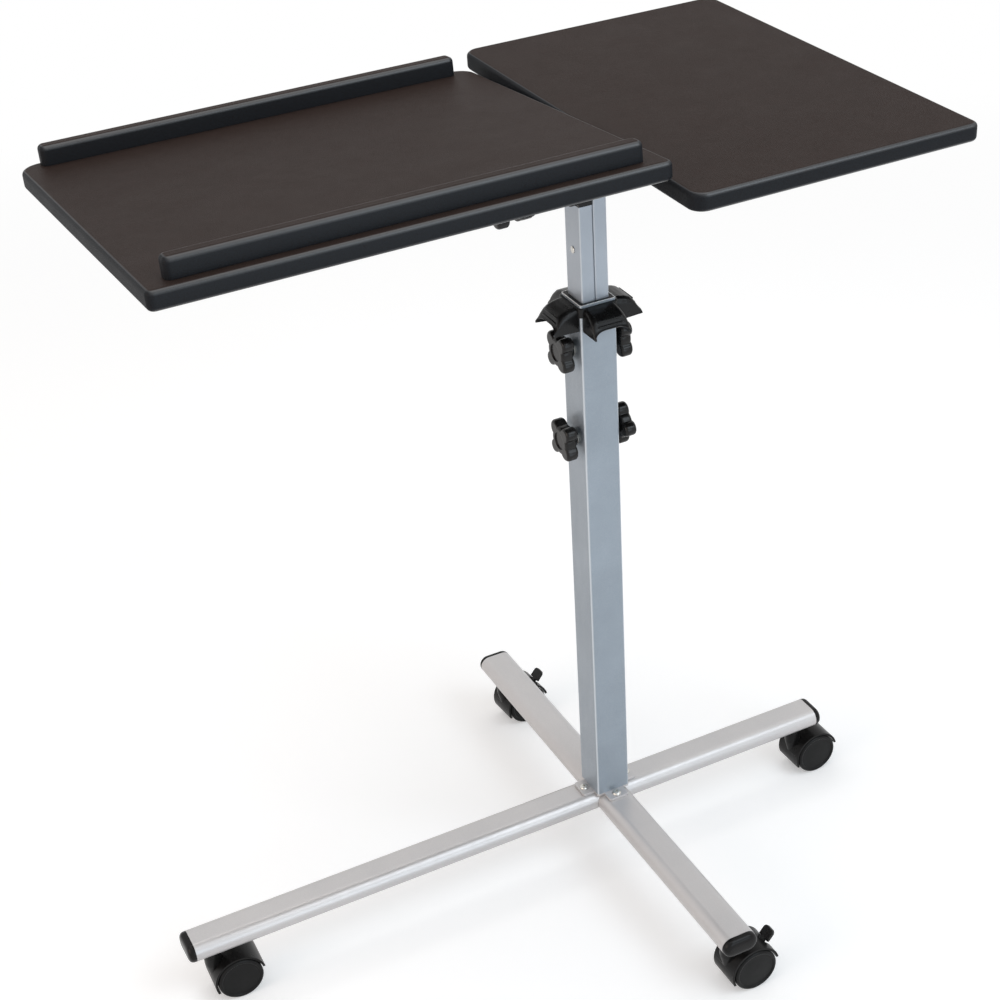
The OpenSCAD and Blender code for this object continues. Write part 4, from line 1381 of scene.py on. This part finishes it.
@dataclass(frozen=True)
class TiltingTop:
    """The tilting board, its rails, its bracket and its lock.

    Attributes:
        pivot: Height of the pivot over the floor.
        tilt: Turn about the pivot in degrees.
        board: The board in its own frame about the pivot.
        front_rail: The front rail.
        back_rail: The back rail.
        knob: The lock's knob.
        knob_x: Column axis to the knob's hub foot.
        hub: Length of the knob's hub.
    """

    pivot: float = 816.0
    tilt: float = -5.2
    board: Board = Board((-472.0, -176.0), (-2.5, 240.0), 47.0, 18.0, (7.0, 7.0, 22.0, 22.0), 4.5)
    front_rail: Board = Board((-451.0, -163.0), (-23.5, -145.0), 65.0, 19.0, (6.0,) * 4, 5.0, 0.5)
    back_rail: Board = Board((-451.0, 219.0), (-23.5, 237.0), 65.0, 19.0, (6.0,) * 4, 5.0, 0.5)
    knob: LobedKnob = field(default_factory=LobedKnob)
    knob_x: float = -75.3
    hub: float = 12.0

    def build(self, bench: Bench) -> None:
        """Makes the board, the rails and the lock's knob, and dresses the metal parts.

        Args:
            bench: What the pieces are made with.
        """
        turn = Matrix.Rotation(math.radians(self.tilt), 4, "X")
        placed = Matrix.Translation((0, 0, self.pivot)) @ turn
        for name, board, node in (("laptop_board", self.board, "tilting_board"),
                                  ("front_rail_strip", self.front_rail, "front_rail"),
                                  ("back_rail_strip", self.back_rail, "back_rail")):
            bench.piece(name, board.skin(), Finishes.BOARD, [node], placed)
        lock = place((0, -1, 0), (0, 0, 1), (-1, 0, 0), at=(self.knob_x, 0, self.pivot))
        bench.piece("tilt_lock_knob", self.knob.skin(self.hub), Finishes.GLOSSY, ["tilt_knob"],
                    lock)
        bench.traced("tilt_bracket", Finishes.BLACK_PAINT, bevel=0.5)
        for node in ("pivot_head", "friction_disc"):
            bench.traced(node, Finishes.MOULDED, bevel=0.5)
        for node in ("pivot_bolt", "tilt_screws", "tilt_insert"):
            bench.traced(node, Finishes.PLATED, bevel=0.0)


@dataclass(frozen=True)
class LevelTop:
    """The level board and its bracket.

    Attributes:
        board: The board.
    """

    board: Board = Board((2.5, -195.0), (304.0, 264.0), 853.0, 18.0, (16.0, 9.0, 9.0, 16.0), 4.5)

    def build(self, bench: Bench) -> None:
        """Makes the board and dresses the bracket and its screws.

        Args:
            bench: What the pieces are made with.
        """
        bench.piece("projector_board", self.board.skin(), Finishes.BOARD, ["level_board"])
        bench.traced("level_bracket", Finishes.BLACK_PAINT, bevel=0.5)
        bench.traced("level_screws", Finishes.PLATED, bevel=0.0)


@dataclass(frozen=True)
class Posts:
    """The two sliding posts, their plugs and the stop rivet.

    Attributes:
        across: Size of a post from side to side.
        deep: Size of a post from front to back.
        wall: Its wall.
        corner: Its outer corner radius.
        gap: Gap between the two posts.
        foot_z: Height of their lower ends.
        left_top: Height of the left post's upper end.
        right_top: Height of the right post's upper end.
    """

    across: float = 14.8
    deep: float = 30.0
    wall: float = 1.2
    corner: float = 2.0
    gap: float = 0.4
    foot_z: float = 418.0
    left_top: float = 800.0
    right_top: float = 850.0

    def post(self, sign: int, top: float) -> Skin:
        """A post as a closed loop of its outer and its inner wall.

        Args:
            sign: -1 for the left post and 1 for the right one.
            top: Height of its upper end.

        Returns:
            The post's skin about the column's axis.
        """
        near, far = sign * self.gap / 2, sign * (self.gap / 2 + self.across)
        outline = Outline.box((min(near, far), -self.deep / 2), (max(near, far), self.deep / 2),
                              [self.corner] * 4, steps=6)
        section = lines([[0, self.foot_z], [0, top], [self.wall, top], [self.wall, self.foot_z]])
        return Skin.woven(outline.swept(section), loop=True)

    def build(self, bench: Bench) -> None:
        """Makes both posts and dresses their plugs and the stop rivet.

        Args:
            bench: What the pieces are made with.
        """
        for side, sign, top in (("left", -1, self.left_top), ("right", 1, self.right_top)):
            bench.piece(f"{side}_post_profile", self.post(sign, top), Finishes.POST_SHADED,
                        [f"{side}_post"], sharp=30.0)
        for node in ("left_post_plug", "right_post_plug"):
            bench.traced(node, Finishes.MOULDED, bevel=0.4)
        bench.traced("stop_rivet", Finishes.PLATED, bevel=0.0)


@dataclass(frozen=True)
class Caster:
    """A twin-wheel caster.

    Attributes:
        name: Which leg it stands under.
        stem: Its stem's place from the column's axis.
        turn: Angle of its trail from +X in degrees.
        braked: Whether it has a brake pedal.
        radius: Radius of a wheel.
        width: Width of a wheel.
        inner: Middle of the caster to a wheel's inner side.
        trail: Stem to axle.
        bore: Radius of a wheel's bore.
        cap: Thickness of the cap that closes a wheel's outer face.
        inner_edge: Rounding of the tread's inner edge, and how far in from the tread the flat
            inner side ends.
        outer_edge: Rounding of the tread's outer edge, and how far down from the outer face the
            flat tread ends.
        outer_turn: Angle in degrees over which that rounding goes before the rim bead.
        rim: Rim bead and groove: distances in from the tread and down from the outer face.
        dish: Dish and hub: shares of the radius and distances down from the outer face.
    """

    name: str
    stem: tuple[float, float]
    turn: float
    braked: bool = False
    radius: float = 25.0
    width: float = 15.0
    inner: float = 5.1
    trail: float = 23.0
    bore: float = 3.06
    cap: float = 2.4
    inner_edge: tuple[float, float] = (1.0, 2.2)
    outer_edge: tuple[float, float] = (2.6, 3.2)
    outer_turn: float = 84.0
    rim: tuple[tuple[float, float], ...] = ((3.2, 0.05), (4.0, 0.6), (4.5, 1.15), (5.4, 1.2))
    dish: tuple[tuple[float, float], ...] = ((0.6, 0.9), (0.3, 0.65), (0.1, 0.5), (0.0, 0.48))

    def wheel(self) -> Skin:
        """A wheel turned about its axle: a tread with rounded edges, a rim bead, a dish and a hub.

        Every point is a radius and a distance along the axle, carried round a full circle.

        Returns:
            The wheel's skin along its own axle, with its inner side at 0.
        """
        around, r, w = 96, self.radius, self.width
        bottom = w - self.cap
        (inner, inner_flat), (outer, outer_flat) = self.inner_edge, self.outer_edge
        core = [[0.0, bottom], [self.bore, bottom], [self.bore, 0.0], [r - inner_flat, 0.0]]
        rim = np.array([r, w]) - self.rim
        dish = np.array([0.0, w]) + np.array(self.dish) * (r, -1.0)
        profile = lines(core, arc(r - inner, inner, inner, -90, 0, 4), [[r, w - outer_flat]],
                        arc(r - outer, w - outer, outer, 0, self.outer_turn, 7), rim, dish)
        return Skin.woven(turned(profile, around))

    def build(self, bench: Bench) -> None:
        """Makes both wheels and dresses the hood, the axle and the pedal.

        Args:
            bench: What the pieces are made with.
        """
        turn = Matrix.Rotation(math.radians(self.turn), 4, "Z")
        placed = Matrix.Translation((*self.stem, 0)) @ turn
        for letter, sign in (("a", -1), ("b", 1)):
            axle = place((sign, 0, 0), (0, 0, 1), (0, sign, 0),
                         at=(self.trail, sign * self.inner, self.radius))
            bench.piece(f"{self.name}_wheel_{letter}", self.wheel(), Finishes.TREAD,
                        [f"caster_{self.name}_wheel_{letter}"], placed @ axle)
        bench.traced(f"caster_{self.name}_hood", Finishes.HOOD, bevel=0.5)
        bench.traced(f"caster_{self.name}_axle", Finishes.PLATED, bevel=0.0)
        if self.braked:
            bench.traced(f"brake_pedal_{self.name}", Finishes.MOULDED, bevel=0.7)


@dataclass(frozen=True)
class SoftLamp:
    """A square soft lamp.

    Attributes:
        name: Its name.
        at: Its place in metres.
        size: Its side in metres.
        power: Its power in watts.
        colour: Its colour, linear.
    """

    name: str
    at: tuple[float, float, float]
    size: float
    power: float
    colour: Colour

    def build(self, aim: Sequence[float]) -> None:
        """Adds the lamp.

        Args:
            aim: Where it points, in metres.
        """
        data = bpy.data.lights.new(self.name, "AREA")
        data.shape, data.size = "SQUARE", self.size
        data.energy, data.color = self.power, self.colour
        made = bpy.data.objects.new(self.name, data)
        made.location = self.at
        made.rotation_euler = (Vector(aim) - Vector(self.at)).to_track_quat("-Z", "Y").to_euler()
        bpy.context.scene.collection.objects.link(made)


@dataclass(frozen=True)
class Studio:
    """A pale floor, soft lamps and a white surround.

    Attributes:
        half: Half of the floor's side in metres.
        fade: Distances in metres between which the floor turns plain white.
        glow: What lifts the lit floor to white for the eye.
        pale: Brightness of the floor's paint, linear.
        floor_rough: Roughness of the floor.
        floor_specular: Specular level of the floor.
        surround: Brightness of the surround on the object.
        aim: Where the lamps point, in metres: the object's middle.
        lamps: The lamps.
    """

    half: float = 3.0
    fade: tuple[float, float] = (1.0, 2.6)
    glow: float = 0.3
    pale: float = 0.86
    floor_rough: float = 0.9
    floor_specular: float = 0.1
    surround: float = 0.5
    aim: tuple[float, float, float] = (0.0, 0.0, 0.5)
    lamps: tuple[SoftLamp, ...] = (
        SoftLamp("overhead_soft", (0.0, 0.3, 2.9), 2.4, 26.0, (1.0, 0.972, 0.945)),
        SoftLamp("high_front_soft", (1.0, -1.55, 2.35), 1.4, 20.0, (0.80, 0.91, 1.0)),
        SoftLamp("low_front_soft", (0.6, -3.0, 0.9), 1.6, 17.0, (0.73, 0.87, 1.0)),
        SoftLamp("left_soft", (-2.6, -0.3, 1.2), 1.6, 19.0, (1.0, 0.80, 0.68)))

    def floor(self) -> None:
        """Makes the floor: pale and matte, and lifted to white for the eye except in shadow."""
        mesh = bpy.data.meshes.new("pale_floor")
        signs = ((-1, -1), (1, -1), (1, 1), (-1, 1))
        square = [(x * self.half, y * self.half, 0) for x, y in signs]
        mesh.from_pydata(square, [], [(0, 1, 2, 3)])
        ground = bpy.data.objects.new("pale_floor", mesh)
        bpy.context.scene.collection.objects.link(ground)
        made = bpy.data.materials.new("pale_floor")
        wiring = Wiring(made)
        wiring.shader.inputs["Base Color"].default_value = (self.pale, self.pale, self.pale, 1.0)
        wiring.shader.inputs["Roughness"].default_value = self.floor_rough
        wiring.shader.inputs["Specular IOR Level"].default_value = self.floor_specular
        lift, white = (wiring.add("ShaderNodeEmission") for _ in range(2))
        lift.inputs["Strength"].default_value = self.glow
        white.inputs["Strength"].default_value = 1.0
        lit, faded, seen = (wiring.add(f"ShaderNode{kind}Shader") for kind in ("Add", "Mix", "Mix"))
        away = wiring.add("ShaderNodeVectorMath", operation="LENGTH")
        wiring.join(wiring.coordinates, away.inputs[0])
        wiring.join(wiring.shader.outputs[0], lit.inputs[0])
        wiring.join(lift.outputs[0], lit.inputs[1])
        far = wiring.spread(away.outputs["Value"], 0.0, 1.0, *self.fade)
        eye = self.looked_at(wiring.tree)
        for mix, share, first, second in ((faded, far, lit, white),
                                          (seen, eye, wiring.shader, faded)):
            wiring.join(share, mix.inputs[0])
            wiring.join(first.outputs[0], mix.inputs[1])
            wiring.join(second.outputs[0], mix.inputs[2])
        wiring.join(seen.outputs[0], wiring.output.inputs["Surface"])
        mesh.materials.append(made)

    @staticmethod
    def looked_at(tree: bpy.types.NodeTree) -> Socket:
        """The largest of the light path's camera, glossy and transmission rays.

        Args:
            tree: The node tree that gets the nodes.

        Returns:
            The socket with the result: 1 where it is seen, 0 where it lights the object.
        """
        path = tree.nodes.new("ShaderNodeLightPath")
        last = path.outputs["Is Camera Ray"]
        for name in ("Is Glossy Ray", "Is Transmission Ray"):
            larger = tree.nodes.new("ShaderNodeMath")
            larger.operation = "MAXIMUM"
            tree.links.new(last, larger.inputs[0])
            tree.links.new(path.outputs[name], larger.inputs[1])
            last = larger.outputs[0]
        return last

    def world(self) -> None:
        """Makes the surround: white where it is seen, softer where it lights the object."""
        world = bpy.data.worlds.new("white_surround")
        bpy.context.scene.world = world
        world.use_nodes = True
        tree = world.node_tree
        tree.nodes.clear()
        output, mix = (tree.nodes.new(f"ShaderNode{kind}") for kind in ("OutputWorld", "MixShader"))
        tree.links.new(mix.outputs[0], output.inputs["Surface"])
        tree.links.new(self.looked_at(tree), mix.inputs[0])
        for socket, strength in ((1, self.surround), (2, 1.0)):
            shade = tree.nodes.new("ShaderNodeBackground")
            shade.inputs["Color"].default_value = (1.0, 1.0, 1.0, 1.0)
            shade.inputs["Strength"].default_value = strength
            tree.links.new(shade.outputs[0], mix.inputs[socket])

    def build(self) -> None:
        """Makes the floor, the surround and the lamps, and sets the plain view transform."""
        bpy.context.scene.view_settings.view_transform = "Standard"
        self.floor()
        self.world()
        for lamp in self.lamps:
            lamp.build(self.aim)


@dataclass(frozen=True)
class PhotoCamera:
    """The camera at the photograph's viewing angle.

    Attributes:
        at: Its place in metres.
        ahead: Its viewing direction.
        roll: Its roll in degrees.
        focal: Its focal length in millimetres.
        sensor: Width of its sensor in millimetres.
        clip: Nearest and furthest distance that it sees, in metres.
    """

    at: tuple[float, float, float] = (-0.69721, -1.49862, 1.52408)
    ahead: tuple[float, float, float] = (0.35489488, 0.77213539, -0.52712101)
    roll: float = -3.73
    focal: float = 69.494
    sensor: float = 36.0
    clip: tuple[float, float] = (0.05, 60.0)

    def build(self) -> None:
        """Makes the camera and sets it as the scene's.

        Its axes are the viewing direction, the level direction to its right and the one square to
        both, of which the last two are turned by the roll.
        """
        data = bpy.data.cameras.new("photo_camera")
        data.lens, data.sensor_width = self.focal, self.sensor
        data.clip_start, data.clip_end = self.clip
        made = bpy.data.objects.new("photo_camera", data)
        ahead = Vector(self.ahead).normalized()
        right = ahead.cross(Vector((0, 0, 1))).normalized()
        up = right.cross(ahead)
        c, s = math.cos(math.radians(self.roll)), math.sin(math.radians(self.roll))
        across, upward = right * c + up * s, up * c - right * s
        basis = Matrix((across, upward, -ahead)).transposed().to_4x4()
        made.matrix_world = Matrix.Translation(self.at) @ basis
        bpy.context.scene.collection.objects.link(made)
        bpy.context.scene.camera = made


def main() -> None:
    """Builds the sub-assemblies in order and reports each piece."""
    logging.basicConfig(level=logging.INFO, format="%(message)s")
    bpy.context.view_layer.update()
    low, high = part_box("column_tube")
    bench = Bench(column_x=(low.x + high.x) / 2 / MM)
    assemblies = [Base(), Column(), Collar(), Clamps(), Posts(), TiltingTop(), LevelTop(),
                  Caster("left", (-478.0, 0.0), -2.0),
                  Caster("front", (0.0, -260.0), 0.0, braked=True),
                  Caster("back", (0.0, 260.0), 4.0, braked=True),
                  Caster("right", (255.0, 0.0), 1.0)]
    for assembly in assemblies:
        log.info("building %s", type(assembly).__name__)
        assembly.build(bench)
    Studio().build()
    PhotoCamera().build()


if __name__ == "__main__":
    main()
